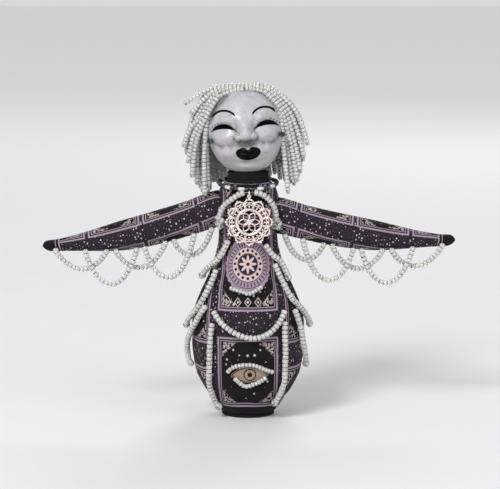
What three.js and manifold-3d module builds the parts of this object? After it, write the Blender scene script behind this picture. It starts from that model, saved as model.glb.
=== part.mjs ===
// A beaded art doll, 17 cm tall: a stuffed cloth torso on a flat base, two stuffed wing arms with
// hanging bead loops, a clay face on a turning head with bead hair, and a filigree pendant.
// Millimetres, +Z up. The doll faces -Y and stands on z = 0, with the middle of its base at the origin.
// "left" and "right" are the doll's own, so its right arm points along -X.
import * as THREE from "three";
import { mergeVertices } from "three/addons/utils/BufferGeometryUtils.js";
import Module from "manifold-3d";

const wasm = await Module();
wasm.setup();

// Fits and stock
const CLEARANCE = 0.3; // between pieces that touch
const CLOTH = 0.8; // a cloth wall with its seam allowance
const STUFFING_PLAY = 0.6; // between the stuffing and its cloth
const CUT_OVERRUN = 1; // how far a hollow is cut past the open end of its cloth
const BEAD = 3; // seed bead of the strands and loops
const SMALL_BEAD = 2.2; // seed bead of the collar and of the sewn outlines
const HAIR_STRAND = 3.2;

// Torso: full widths at named heights, and the depth as a share of the width
const BASE_WIDTH = 27;
const HIP_WIDTH = 39.5;
const HIP_Z = 9;
const LOW_BELLY_WIDTH = 54.6;
const LOW_BELLY_Z = 22;
const BELLY_WIDTH = 59.6;
const BELLY_Z = 42;
const HIGH_BELLY_WIDTH = 56.4;
const HIGH_BELLY_Z = 56;
const WAIST_WIDTH = 38;
const WAIST_Z = 78;
const CHEST_WIDTH = 31.8;
const CHEST_Z = 92;
const SHOULDER_WIDTH = 34;
const SHOULDER_Z = 108;
const YOKE_WIDTH = 31.2;
const YOKE_Z = 116;
const NECK_SEAM_WIDTH = 25.2;
const NECK_SEAM_Z = 120.5;
const TORSO_DEPTH_SHARE = 0.86;
const BASE_PANEL_THICKNESS = 1.2;
const WEIGHT_BAG_WIDTH = 26;
const WEIGHT_BAG_HEIGHT = 13;

// Neck and head
const NECK_WIDTH = 21.4;
const NECK_HEIGHT = 4.6;
const POST_DIAMETER = 6;
const POST_FOOT_Z = 70;
const POST_IN_HEAD = 20;
const HEAD_ROLL_DEG = -5.5; // the head leans to the doll's right
const SKULL_WIDTH = 35;
const SKULL_DEPTH = 33;
const SKULL_HEIGHT = 38.6;
const FACE_WIDTH = 38;
const FACE_HEIGHT = 41.4;
const FACE_DEPTH = 16;
const NOSE_RISE = 4.4;
const CHEEK_RISE = 1.7;
const LID_RISE = 1.3;
const CHIN_RISE = 1.6;
const MOUTH_WIDTH = 12.4;
const MOUTH_HEIGHT = 6.4;
const LIP_THICKNESS = 4.4;
const LIP_SINK = 0.9; // how far the middle of the lips lies behind the clay
const CHEEK_BEAD = 3.2;
const WIG_CAP_THICKNESS = 1.4;

// Arms
const ARM_LENGTH = 90;
const ARM_ROOT_HEIGHT = 20;
const ARM_MIDDLE_HEIGHT = 18.2;
const ARM_CUFF_HEIGHT = 9.6;
const ARM_TIP_HEIGHT = 7.4;
const ARM_MIDDLE_SHARE = 0.5; // of the arm's length
const ARM_CUFF_SHARE = 0.85;
const ARM_DEPTH_SHARE = 0.78;
const ARM_SAG = 3;
const RIGHT_ARM_SEAM_Z = 106;
const LEFT_ARM_SEAM_Z = 102.6;
const RIGHT_ARM_DROOP_DEG = 12.2;
const LEFT_ARM_DROOP_DEG = 8;
const ARM_FORWARD_DEG = 30;
const ARM_BACK_DEG = 20;

// Bead loops under each arm
const LOOP_FIRST = 10.5;
const LOOP_TIP_GAP = 4.5; // from the last stitch to the tip of the arm
const LOOP_SHORT = 36;
const LOOP_LONG = 51;
const LOOP_AT_SHOULDER = 29;
const LOOP_SHOULDER_INSET = 4;
const LOOP_COUNT = 5;
const LOOP_PITCH = (ARM_LENGTH - LOOP_FIRST - LOOP_TIP_GAP) / LOOP_COUNT;
const LOOP_DROP = 0.6; // from the cloth to the middle of a loop's end, before it is trimmed
const FRINGE_SWING_DEG = 25;
const ROW_OFFSET = 1.75; // the long loops hang in front of the short ones

// Pendant
const PENDANT_RADIUS = 12.4;
const PENDANT_THICKNESS = 1.2;
const PENDANT_PETALS = 12;
const PENDANT_RING_OUTER = 7;
const PENDANT_RING_INNER = 5.7;
const JUMP_RING_RADIUS = 1.35;
const JUMP_RING_WIRE = 0.6;
const THREAD = 0.6;
const PENDANT_Z = 115.6; // height of the thread that carries it

const radians = THREE.MathUtils.degToRad;

// Solids and curves

function solid(geometry) {
  const bare = new THREE.BufferGeometry();
  bare.setAttribute("position", geometry.getAttribute("position"));
  bare.setIndex(geometry.index);
  const merged = mergeVertices(bare, 1e-3);
  return new wasm.Manifold(
    new wasm.Mesh({
      numProp: 3,
      vertProperties: merged.getAttribute("position").array,
      triVerts: new Uint32Array(merged.index.array),
    }),
  );
}

function geometryOf(manifold) {
  const made = manifold.getMesh();
  return new THREE.BufferGeometry()
    .setAttribute("position", new THREE.BufferAttribute(new Float32Array(made.vertProperties), 3))
    .setIndex(new THREE.BufferAttribute(new Uint32Array(made.triVerts), 1));
}

// A solid of revolution about +Z from [radius, height] pairs, listed from the bottom up.
function revolve(profile, sides) {
  const points = profile.map(([r, h]) => new THREE.Vector2(Math.max(r, 0), h));
  return new THREE.LatheGeometry(points, sides).rotateX(Math.PI / 2);
}

function tube(curve, diameter, steps, sides = 8) {
  const round = new THREE.EllipseCurve(0, 0, diameter / 2, diameter / 2).getPoints(sides);
  const section = new THREE.Shape(round.slice(0, sides));
  return new THREE.ExtrudeGeometry(section, { steps, extrudePath: curve, bevelEnabled: false });
}

function ellipsoid(width, depth, height, columns = 24, rows = 16) {
  return new THREE.SphereGeometry(0.5, columns, rows).rotateX(Math.PI / 2).scale(width, depth, height);
}

// Smooth curve through [place, value] stations, by cubic Hermite pieces.
function through(stations, place) {
  const last = stations.length - 1;
  const at = THREE.MathUtils.clamp(place, stations[0][0], stations[last][0]);
  let i = 0;
  while (i < last - 1 && at > stations[i + 1][0]) i += 1;
  const slope = (k) => {
    const before = stations[Math.max(k - 1, 0)];
    const after = stations[Math.min(k + 1, last)];
    return (after[1] - before[1]) / (after[0] - before[0]);
  };
  const span = stations[i + 1][0] - stations[i][0];
  const t = (at - stations[i][0]) / span;
  return (
    (2 * t ** 3 - 3 * t ** 2 + 1) * stations[i][1] +
    (t ** 3 - 2 * t ** 2 + t) * span * slope(i) +
    (3 * t ** 2 - 2 * t ** 3) * stations[i + 1][1] +
    (t ** 3 - t ** 2) * span * slope(i + 1)
  );
}

// Torso surface

const TORSO_STATIONS = [
  [0, BASE_WIDTH / 2],
  [HIP_Z, HIP_WIDTH / 2],
  [LOW_BELLY_Z, LOW_BELLY_WIDTH / 2],
  [BELLY_Z, BELLY_WIDTH / 2],
  [HIGH_BELLY_Z, HIGH_BELLY_WIDTH / 2],
  [WAIST_Z, WAIST_WIDTH / 2],
  [CHEST_Z, CHEST_WIDTH / 2],
  [SHOULDER_Z, SHOULDER_WIDTH / 2],
  [YOKE_Z, YOKE_WIDTH / 2],
  [NECK_SEAM_Z, NECK_SEAM_WIDTH / 2],
];

const torsoHalfWidth = (z) => through(TORSO_STATIONS, z);

// A point above the torso cloth. The angle is 0 at the front and 90 at the doll's left side.
function onTorso(angle, z, lift) {
  const half = torsoHalfWidth(z);
  const slope = torsoHalfWidth(z + 0.5) - torsoHalfWidth(z - 0.5);
  const out = lift / Math.hypot(1, slope);
  return new THREE.Vector3(
    (half + out) * Math.sin(radians(angle)),
    -(half * TORSO_DEPTH_SHARE + out) * Math.cos(radians(angle)),
    z - out * slope,
  );
}

// A strand that lies on the torso, through [angle, height] pairs.
class TorsoStrand extends THREE.Curve {
  constructor(pairs, lift) {
    super();
    this.route = new THREE.SplineCurve(pairs.map(([angle, z]) => new THREE.Vector2(angle, z)));
    this.lift = lift;
  }
  getPoint(t) {
    const place = this.route.getPoint(t);
    return onTorso(place.x, place.y, this.lift);
  }
}

// A strand of one length that hangs between two points.
class HangingStrand extends THREE.Curve {
  constructor(start, end, length) {
    super();
    this.start = start;
    this.end = end;
    const across = new THREE.Vector2(end.x - start.x, end.y - start.y).length();
    const rise = end.z - start.z;
    const slack = Math.sqrt(length ** 2 - rise ** 2) / across;
    let low = 1e-3;
    let high = 20;
    while (high - low > 1e-9) {
      const middle = (low + high) / 2;
      if (Math.sinh(middle) / middle < slack) low = middle;
      else high = middle;
    }
    this.across = across;
    this.size = across / (2 * low);
    this.middle = across / 2 - this.size * Math.atanh(rise / length);
    this.floor = start.z - this.size * Math.cosh(this.middle / this.size);
    this.length = length;
  }
  // Steps along the length, so that the steep sides get as many points as the bottom.
  getPoint(t) {
    const run = t * this.length + this.size * Math.sinh(-this.middle / this.size);
    const along = this.middle + this.size * Math.asinh(run / this.size);
    const share = along / this.across;
    return new THREE.Vector3(
      THREE.MathUtils.lerp(this.start.x, this.end.x, share),
      THREE.MathUtils.lerp(this.start.y, this.end.y, share),
      this.floor + this.size * Math.cosh((along - this.middle) / this.size),
    );
  }
}

// Pieces and materials

const doll = new THREE.Group();

const FINISH = {
  print: { color: 0x2a2030, roughness: 0.85, metalness: 0 },
  black: { color: 0x0c0c0f, roughness: 0.9, metalness: 0 },
  stuffing: { color: 0xe9e6df, roughness: 1, metalness: 0 },
  pellets: { color: 0x8d8a84, roughness: 0.9, metalness: 0 },
  wood: { color: 0xc49a66, roughness: 0.7, metalness: 0 },
  clay: { color: 0xcfccc6, roughness: 0.45, metalness: 0 },
  lacquer: { color: 0x0a0a0c, roughness: 0.15, metalness: 0 },
  glass: { color: 0xdcdcd6, roughness: 0.15, metalness: 0.1 },
  teal: { color: 0x2f7f86, roughness: 0.2, metalness: 0.4 },
  iris: { color: 0x3b4350, roughness: 0.25, metalness: 0.4 },
  silver: { color: 0xc3b4ae, roughness: 0.3, metalness: 1 },
};

function piece(name, shape, finish, parent = doll) {
  const geometry = shape.isBufferGeometry ? shape : geometryOf(shape);
  const mesh = new THREE.Mesh(geometry, new THREE.MeshStandardMaterial(FINISH[finish]));
  mesh.name = name;
  parent.add(mesh);
}

// Torso: a cloth tube, its base panel, the stuffing, the weight bag and the wooden neck post

const TORSO_SIDES = 24;
const TORSO_STEP = 8;
const STUFFING_SIDES = 16;

// The torso's outline from one height to another, drawn in by an inset.
function torsoOutline(from, to, inset) {
  const steps = Math.ceil((to - from) / TORSO_STEP);
  return Array.from({ length: steps + 1 }, (_, i) => {
    const z = from + ((to - from) * i) / steps;
    return [torsoHalfWidth(z) - inset, z];
  });
}

function torsoSolid(from, to, inset, sides = TORSO_SIDES) {
  const outline = torsoOutline(from, to, inset);
  return solid(revolve([[0, from], ...outline, [0, to]], sides).scale(1, TORSO_DEPTH_SHARE, 1));
}

const TORSO_FOOT_Z = BASE_PANEL_THICKNESS + CLEARANCE;
const NECK_TOP_Z = NECK_SEAM_Z + CLEARANCE + NECK_HEIGHT;
const POST_TOP_Z = NECK_TOP_Z + POST_IN_HEAD;

const NECK_FLARE = 0.4;

// The round neck under the head, or with play the room that the turning head leaves round it.
function neck(play) {
  const foot = NECK_SEAM_Z + CLEARANCE;
  const radius = NECK_WIDTH / 2 + play;
  const outline = [
    [0, foot],
    [radius + NECK_FLARE, foot],
    [radius, foot + NECK_HEIGHT / 2],
    [radius - NECK_FLARE, NECK_TOP_Z + play],
    [0, NECK_TOP_Z + play],
  ];
  return revolve(outline, 20);
}

// The neck post, or with play the bore that it turns in.
function post(play) {
  const radius = POST_DIAMETER / 2 + play;
  return new THREE.CylinderGeometry(radius, radius, POST_TOP_Z - POST_FOOT_Z + 2 * play, 16)
    .rotateX(Math.PI / 2)
    .translate(0, 0, (POST_TOP_Z + POST_FOOT_Z) / 2);
}

function makeTorso() {
  const hollow = torsoOutline(TORSO_FOOT_Z, NECK_SEAM_Z, CLOTH);
  const foot = hollow[0][0];
  const top = hollow[hollow.length - 1][0];
  const inside = revolve(
    [
      [0, TORSO_FOOT_Z - CUT_OVERRUN],
      [foot, TORSO_FOOT_Z - CUT_OVERRUN],
      ...hollow,
      [top, NECK_SEAM_Z + CUT_OVERRUN],
      [0, NECK_SEAM_Z + CUT_OVERRUN],
    ],
    TORSO_SIDES,
  ).scale(1, TORSO_DEPTH_SHARE, 1);
  piece("torso_cloth", torsoSolid(TORSO_FOOT_Z, NECK_SEAM_Z, 0).subtract(solid(inside)), "print");

  const panel = new THREE.CylinderGeometry(BASE_WIDTH / 2, BASE_WIDTH / 2, BASE_PANEL_THICKNESS, TORSO_SIDES)
    .rotateX(Math.PI / 2)
    .scale(1, TORSO_DEPTH_SHARE, 1)
    .translate(0, 0, BASE_PANEL_THICKNESS / 2);
  piece("base_panel", panel, "black");

  const bagMiddle = TORSO_FOOT_Z + WEIGHT_BAG_HEIGHT / 2;
  const bag = (play) =>
    ellipsoid(
      WEIGHT_BAG_WIDTH + 2 * play,
      WEIGHT_BAG_WIDTH * TORSO_DEPTH_SHARE + 2 * play,
      WEIGHT_BAG_HEIGHT + 2 * play,
      16,
      8,
    ).translate(0, 0, bagMiddle);
  piece("weight_bag", bag(0), "pellets");

  piece("neck_post", post(0), "wood");

  const stuffing = torsoSolid(TORSO_FOOT_Z, NECK_SEAM_Z, CLOTH + STUFFING_PLAY, STUFFING_SIDES)
    .subtract(solid(bag(CLEARANCE)))
    .subtract(solid(post(CLEARANCE)));
  piece("torso_stuffing", stuffing, "stuffing");

  piece("neck_sleeve", solid(neck(0)).subtract(solid(post(CLEARANCE))), "black");
}

// Strands on the torso: [angle, height] pairs along each one

const LIFT = BEAD / 2 + CLEARANCE;

const TORSO_STRANDS = {
  right_upper_strand: [[-34, 91.5], [-44, 85], [-52, 81], [-64, 78], [-82, 73.5], [-88, 71.5]],
  right_middle_strand: [
    [-48.8, 76.2], [-50.5, 69.6], [-53.7, 62.6],
    [-59.5, 56.8], [-69.3, 52.5], [-87, 46.7],
  ],
  right_lower_strand: [
    [-46.8, 58.5], [-52, 54.8], [-58.2, 49.8], [-67.5, 44.4],
    [-82, 37], [-88, 31.5], [-74, 28.3],
  ],
  right_long_strand: [
    [-35.3, 50.9], [-37.1, 42], [-38.6, 32.9], [-41.1, 25],
    [-46.4, 16.5], [-50.5, 9.6], [-49, 7.2],
  ],
  left_upper_strand: [[29, 89.5], [40.7, 83.9], [55.3, 80.1], [61.4, 75.7], [61.5, 72.1]],
  left_middle_strand: [
    [41.6, 79.3], [45.1, 73.5], [48.5, 67.7], [53.1, 61.8],
    [62.3, 57.6], [74.7, 51.9], [87, 47.2],
  ],
  left_lower_strand: [
    [52.1, 56.5], [54.9, 51.7], [59.2, 45.6],
    [63.7, 38.3], [72.3, 30.7], [77, 27.8],
  ],
  left_long_strand: [
    [36.7, 51.6], [35.9, 45.1], [37, 36.7], [37.5, 29.1],
    [39.3, 22.7], [40.3, 17.1], [40.1, 12.2], [38.7, 9.9],
  ],
  belly_swag: [
    [-35.5, 56.4], [-26, 51.5], [-13, 47], [3, 44.3],
    [17.1, 45.9], [28.3, 50.3], [38.5, 56.6],
  ],
};

const SEWN_OUTLINES = {
  roundel_edge: [
    [-22, 68.2], [-14.5, 67.3], [-7.4, 66.6], [-1.3, 65.6],
    [4.7, 66], [11.8, 67.7], [17.5, 68.8],
  ],
  eye_upper_edge: [
    [-20.7, 26.4], [-16, 28.8], [-8.3, 30.3], [-1.8, 30.6],
    [4.6, 30.5], [11.2, 29.3], [18.1, 27.7], [25.5, 26.4],
  ],
  eye_lower_edge: [[-14, 23.6], [-7.6, 20.8], [-2.2, 19.4], [5.5, 20.4], [12.9, 22], [18.5, 24]],
};

const HARNESS = {
  right: [[-6, PENDANT_Z], [-15, 114.6], [-28, 112], [-39, 109.3], [-47, 106], [-51, 102]],
  left: [[10, PENDANT_Z], [18, 115.2], [29, 113.6], [39, 110.5], [47, 106.5], [51, 101.5]],
};

const STRAND_STEP = 5.5;

function strand(curve, diameter) {
  return tube(curve, diameter, Math.max(5, Math.round(curve.getLength() / STRAND_STEP)));
}

function makeStrands() {
  for (const [name, pairs] of Object.entries(TORSO_STRANDS)) {
    piece(name, strand(new TorsoStrand(pairs, LIFT), BEAD), "glass");
  }
  for (const [name, pairs] of Object.entries(SEWN_OUTLINES)) {
    piece(name, strand(new TorsoStrand(pairs, SMALL_BEAD / 2 + CLEARANCE), SMALL_BEAD), "glass");
  }
}

const THREAD_TUCK = 0.06; // share of a harness strand that the end of the thread lies in

// The harness strands run from the shoulders to a short bare thread that carries the pendant.
function makeHarness() {
  const right = new TorsoStrand(HARNESS.right, LIFT);
  const left = new TorsoStrand(HARNESS.left, LIFT);
  const ringReach = JUMP_RING_RADIUS + JUMP_RING_WIRE / 2;
  const forward = new THREE.Vector3(0, LIFT - ringReach - 2 * CLEARANCE, 0);
  const tuck = (side) => side.getPoint(THREAD_TUCK).add(forward);
  const thread = new THREE.LineCurve3(tuck(right), tuck(left));
  const joined = solid(strand(right, BEAD))
    .add(solid(strand(left, BEAD)))
    .add(solid(tube(thread, THREAD, 1)));
  piece("harness_strand", joined, "glass");
  return thread.getPoint(0.5);
}

// The collar lies round the neck seam, lower at the front, with its ends tied at the back.
const COLLAR_FRONT_DROP = 2.2;
const COLLAR_BACK_RISE = 1.1;
const COLLAR_SEAT_DROP = 1; // from the neck seam to the highest place that it lies against
const COLLAR_TIE_DEG = 3;
const COLLAR_STEPS = 28;

class CollarRoute extends THREE.Curve {
  getPoint(t) {
    const angle = THREE.MathUtils.lerp(-180 + COLLAR_TIE_DEG, 180 - COLLAR_TIE_DEG, t);
    const back = (1 - Math.cos(radians(angle))) / 2;
    const z = THREE.MathUtils.lerp(-COLLAR_FRONT_DROP, COLLAR_BACK_RISE, back) + NECK_SEAM_Z;
    const spot = onTorso(angle, Math.min(z, NECK_SEAM_Z - COLLAR_SEAT_DROP), SMALL_BEAD / 2 + CLEARANCE);
    return spot.setZ(Math.max(spot.z, z));
  }
}

function makeCollar() {
  piece("collar_strand", tube(new CollarRoute(), SMALL_BEAD, COLLAR_STEPS, 6), "iris");
}

// Pendant: a pierced round charm with scalloped edge, on a jump ring that hangs on the harness thread

const LUG_HOLE = JUMP_RING_WIRE / 2 + CLEARANCE;
const LUG_RADIUS = LUG_HOLE + 0.5;
const SCALLOP_DEPTH = 2;
const EDGE_HOLE = 0.95;
const EDGE_HOLE_INSET = 0.2;
const ROSETTE_PETALS = 6;
const ROSETTE_EYE = 0.6; // solid middle of the rosette
const ROSETTE_RIM = 0.3;
const PETAL_WIDTH = 1.5;
const GAP_HOLE = 0.9; // round holes between the petals
const GAP_HOLE_SHARE = 0.72; // of the ring's inner radius

function circle(x, y, radius, sides) {
  const round = new THREE.EllipseCurve(x, y, radius, radius).getPoints(sides);
  return round.slice(0, sides);
}

// A pointed petal hole from one radius to another, along an angle.
function petal(angle, from, to) {
  const along = new THREE.Vector2(Math.cos(angle), Math.sin(angle));
  const across = new THREE.Vector2(-along.y, along.x);
  const at = (r, side) => along.clone().multiplyScalar(r).addScaledVector(across, side);
  const waist = (from + to) / 2;
  const half = PETAL_WIDTH / 2;
  return [at(from, 0), at(waist, -half), at(to, 0), at(waist, half)];
}

function pendantShape() {
  const edge = [];
  const steps = PENDANT_PETALS * 4;
  for (let i = 0; i < steps; i += 1) {
    const angle = (2 * Math.PI * i) / steps;
    const scallop = Math.abs(Math.sin((angle * PENDANT_PETALS) / 2));
    const r = PENDANT_RADIUS - SCALLOP_DEPTH * scallop ** 1.5;
    edge.push(new THREE.Vector2(r * Math.sin(angle), r * Math.cos(angle)));
  }
  const shape = new THREE.Shape(edge);
  const middle = (PENDANT_RING_OUTER + PENDANT_RADIUS) / 2 - EDGE_HOLE_INSET;
  for (let i = 0; i < PENDANT_PETALS; i += 1) {
    const angle = (2 * Math.PI * i) / PENDANT_PETALS;
    const hole = circle(middle * Math.sin(angle), middle * Math.cos(angle), EDGE_HOLE, 6);
    shape.holes.push(new THREE.Path(hole));
  }
  for (let i = 0; i < ROSETTE_PETALS; i += 1) {
    const angle = (2 * Math.PI * i) / ROSETTE_PETALS;
    shape.holes.push(new THREE.Path(petal(angle, ROSETTE_EYE, PENDANT_RING_INNER - ROSETTE_RIM)));
    const spot = PENDANT_RING_INNER * GAP_HOLE_SHARE;
    const between = angle + Math.PI / ROSETTE_PETALS;
    const gap = circle(spot * Math.cos(between), spot * Math.sin(between), GAP_HOLE, 6);
    shape.holes.push(new THREE.Path(gap));
  }
  return shape;
}

function makePendant(thread) {
  const ringPlay = JUMP_RING_RADIUS - JUMP_RING_WIRE / 2 - THREAD / 2 - CLEARANCE;
  const ringZ = thread.z - ringPlay;
  const ring = new THREE.TorusGeometry(JUMP_RING_RADIUS, JUMP_RING_WIRE / 2, 6, 14)
    .rotateY(Math.PI / 2)
    .translate(thread.x, thread.y, ringZ);
  piece("jump_ring", ring, "silver");

  const lugZ = ringZ - JUMP_RING_RADIUS;
  const flat = { depth: PENDANT_THICKNESS, bevelEnabled: false, curveSegments: 1 };
  const lugShape = new THREE.Shape(circle(0, PENDANT_RADIUS + LUG_HOLE, LUG_RADIUS, 12));
  const lugHole = new THREE.Shape(circle(0, PENDANT_RADIUS + LUG_HOLE, LUG_HOLE, 10));
  const stand = (shape, depth, start) =>
    solid(
      new THREE.ExtrudeGeometry(shape, { ...flat, depth })
        .translate(0, -PENDANT_RADIUS - LUG_HOLE, start)
        .rotateX(Math.PI / 2)
        .translate(thread.x, thread.y, lugZ),
    );
  const half = PENDANT_THICKNESS / 2;
  const charm = stand(pendantShape(), PENDANT_THICKNESS, -half)
    .add(stand(lugShape, PENDANT_THICKNESS, -half))
    .subtract(stand(lugHole, 3 * PENDANT_THICKNESS, -3 * half));
  piece("pendant", charm, "silver");
}

// Head: a stuffed skull, a clay face with its lips and cheek beads, and a wig of bead strands

const SIDES = [["right", -1], ["left", 1]];
const HEAD_X = -1.2;
const HEAD_Z = NECK_TOP_Z + CLEARANCE + SKULL_HEIGHT / 2;
const FACE_BACK_Y = -2;
const MOUTH = { across: 0.5, up: -10.8 };

// Where the clay swells: place across and up from the middle of the face, and spread.
const NOSE = { across: 0, up: -3.6, wide: 3, high: 3 };
const BRIDGE = { across: 0, up: 3, wide: 2.4, high: 5 };
const NOSTRIL = { across: 3.6, up: -4.6, wide: 2, high: 2 };
const CHEEK = { across: 9.6, up: -4.4, wide: 5, high: 4.6 };
const LID = { across: 9.8, up: 5.4, wide: 5, high: 3.2 };
const CHIN = { across: 0, up: -16.6, wide: 6, high: 3.4 };
const BRIDGE_SHARE = 0.4; // of the nose's rise
const NOSTRIL_SHARE = 0.35;

const swell = (p, q, at) => Math.exp(-(((p - at.across) / at.wide) ** 2) - ((q - at.up) / at.high) ** 2);

// How far the clay stands out from the plain oval of the face.
function faceRelief(p, q) {
  const side = Math.abs(p);
  const bridge = BRIDGE_SHARE * swell(p, q, BRIDGE);
  const nose = swell(p, q, NOSE) + bridge + NOSTRIL_SHARE * swell(side, q, NOSTRIL);
  const lids = LID_RISE * swell(side, q, LID);
  const cheeks = CHEEK_RISE * swell(side, q, CHEEK);
  return NOSE_RISE * nose + lids + cheeks + CHIN_RISE * swell(p, q, CHIN);
}

// Depth of the face at a place across and up from its middle.
function faceFront(p, q) {
  const oval = 1 - ((2 * p) / FACE_WIDTH) ** 2 - ((2 * q) / FACE_HEIGHT) ** 2;
  return FACE_BACK_Y - FACE_DEPTH * Math.sqrt(Math.max(oval, 0)) - faceRelief(p, q);
}

function slab(width, depth, height, x, y, z) {
  return solid(new THREE.BoxGeometry(width, depth, height).translate(x, y, z));
}

function faceSolid() {
  const dome = new THREE.SphereGeometry(1, 24, 20).scale(FACE_WIDTH / 2, FACE_DEPTH, FACE_HEIGHT / 2);
  const spots = dome.getAttribute("position");
  for (let i = 0; i < spots.count; i += 1) {
    const front = Math.max(-spots.getY(i) / FACE_DEPTH, 0);
    const relief = faceRelief(spots.getX(i), spots.getZ(i)) * Math.min(1, 3 * front);
    spots.setY(i, spots.getY(i) + FACE_BACK_Y - relief);
  }
  return solid(dome);
}

// The stuffed skull, or with play the hollow that sits over it.
function skull(play) {
  const room = 2 * play;
  return ellipsoid(SKULL_WIDTH + room, SKULL_DEPTH + room, SKULL_HEIGHT + room, 20, 12);
}

const CHEEK_BEAD_SHARE = 0.91; // of the face's half width
const CHEEK_BEAD_UP = -1.9;

function makeHead() {
  const head = new THREE.Group();
  head.position.set(HEAD_X, 0, HEAD_Z);
  head.rotation.y = radians(HEAD_ROLL_DEG);
  head.updateMatrixWorld();
  doll.add(head);

  const toHead = head.matrixWorld.clone().invert();
  const bore = solid(post(CLEARANCE).applyMatrix4(toHead));
  const collarRoom = solid(neck(CLEARANCE).applyMatrix4(toHead));
  piece("skull", solid(skull(0)).subtract(bore).subtract(collarRoom), "stuffing", head);

  const lips = (play) =>
    ellipsoid(MOUTH_WIDTH + 2 * play, LIP_THICKNESS + 2 * play, MOUTH_HEIGHT + 2 * play, 14, 8).translate(
      MOUTH.across,
      faceFront(MOUTH.across, MOUTH.up) + LIP_SINK,
      MOUTH.up,
    );
  const size = 2 * SKULL_HEIGHT;
  const face = faceSolid()
    .subtract(slab(size, size, size, 0, FACE_BACK_Y + size / 2, 0))
    .subtract(solid(skull(CLEARANCE)))
    .subtract(solid(lips(CLEARANCE)))
    .subtract(bore)
    .subtract(collarRoom);
  piece("face", face, "clay", head);
  piece("lips", solid(lips(0)).subtract(solid(skull(CLEARANCE))), "lacquer", head);

  const seat = new THREE.Vector3((CHEEK_BEAD_SHARE * FACE_WIDTH) / 2, 0, CHEEK_BEAD_UP);
  seat.y = FACE_BACK_Y - FACE_DEPTH * Math.sqrt(1 - ((2 * seat.x) / FACE_WIDTH) ** 2);
  const away = new THREE.Vector3(seat.x / FACE_WIDTH ** 2, (seat.y - FACE_BACK_Y) / (2 * FACE_DEPTH) ** 2, 0);
  seat.addScaledVector(away.normalize(), CHEEK_BEAD / 2 + CLEARANCE);
  for (const [name, side] of SIDES) {
    const bead = ellipsoid(CHEEK_BEAD, CHEEK_BEAD, CHEEK_BEAD, 10, 6);
    piece(`${name}_cheek_bead`, bead.translate(side * seat.x, seat.y, seat.z), "teal", head);
  }
  makeHair(head);
}

// Hair: strands fall from the parting over the sides and the back, fused to four slices of the wig cap

const CAP_EDGE_Z = -11;
const CAP_SPLIT_Y = 4;
const HAIR_LIFT = HAIR_STRAND / 2 + CLEARANCE;
const HAIR_STEPS = 6;
const HAIR_SIDES = 5;
const CROWN_POLAR_DEG = 34; // where a strand bends over the crown
const TEMPLE_POLAR_DEG = 66; // where it leaves the head
const CROWN_LIFT_SHARE = 0.7;
const LAYER_SHARE = 0.8; // of a strand's thickness, from one layer to the next
const HANG_AT = 0.45; // share of the fall where a strand turns downwards
const HANG_FLARE = 0.35;
const PARTING = 2.4; // from the middle of the head to the strands' roots
const SIDE_ROOTS = { y: 0.4, pitch: 0.4, sink: 0.4 };
const BACK_ROOT_INSET = 2; // from the split of the cap to the first root behind it
const BACK_ROOTS = { y: CAP_SPLIT_Y + BACK_ROOT_INSET, pitch: 0.5, sink: 1.6 };
const SIDE_LAYERS = [1.2, 0.2];
const SIDE_FAN = 2.2; // degrees of azimuth for each millimetre of a tip's depth

// A place on the rounded head: polar angle from the crown, azimuth from the front.
function onHead(polar, azimuth, lift) {
  const out = Math.sin(radians(polar));
  return new THREE.Vector3(
    (FACE_WIDTH / 2 + lift) * out * Math.sin(radians(azimuth)),
    -(SKULL_DEPTH / 2 + WIG_CAP_THICKNESS + CLEARANCE + lift) * out * Math.cos(radians(azimuth)),
    (FACE_HEIGHT / 2 + lift) * Math.cos(radians(polar)),
  );
}

// Strand tips at the sides: reach from the middle, height from the middle of the head, and depth.
const SIDE_TIPS = {
  right: [[28.5, 18, 0], [31.5, -3, -3], [30, -11, 1], [29, -18.5, -3], [23.5, -26, -0.5]],
  left: [[29.5, -7, -1], [27.5, -15, -3.5], [26.5, -21, 1], [24, -25, -3], [21, -29.5, 0]],
};
const BACK_AZIMUTHS = [121, 133, 145, 157, 168];
const BACK_TIPS = [[26, -22], [22.5, -29], [27, -18], [23, -27.5], [25.5, -23]];

// A strand from the parting over the crown to its tip, by way of the temple if it falls.
function hairStrand(root, azimuth, layer, tip) {
  const lift = HAIR_LIFT + layer * HAIR_STRAND * LAYER_SHARE;
  const route = [root, onHead(CROWN_POLAR_DEG, azimuth, lift * CROWN_LIFT_SHARE)];
  if (tip.z < 0) {
    const side = onHead(TEMPLE_POLAR_DEG, azimuth, lift);
    const hang = side.clone().lerp(tip, HANG_AT);
    const flare = new THREE.Vector3(tip.x - hang.x, tip.y - hang.y, 0);
    route.push(side, hang.addScaledVector(flare, HANG_FLARE));
  }
  route.push(tip);
  return solid(tube(new THREE.CatmullRomCurve3(route), HAIR_STRAND, HAIR_STEPS, HAIR_SIDES));
}

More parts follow.
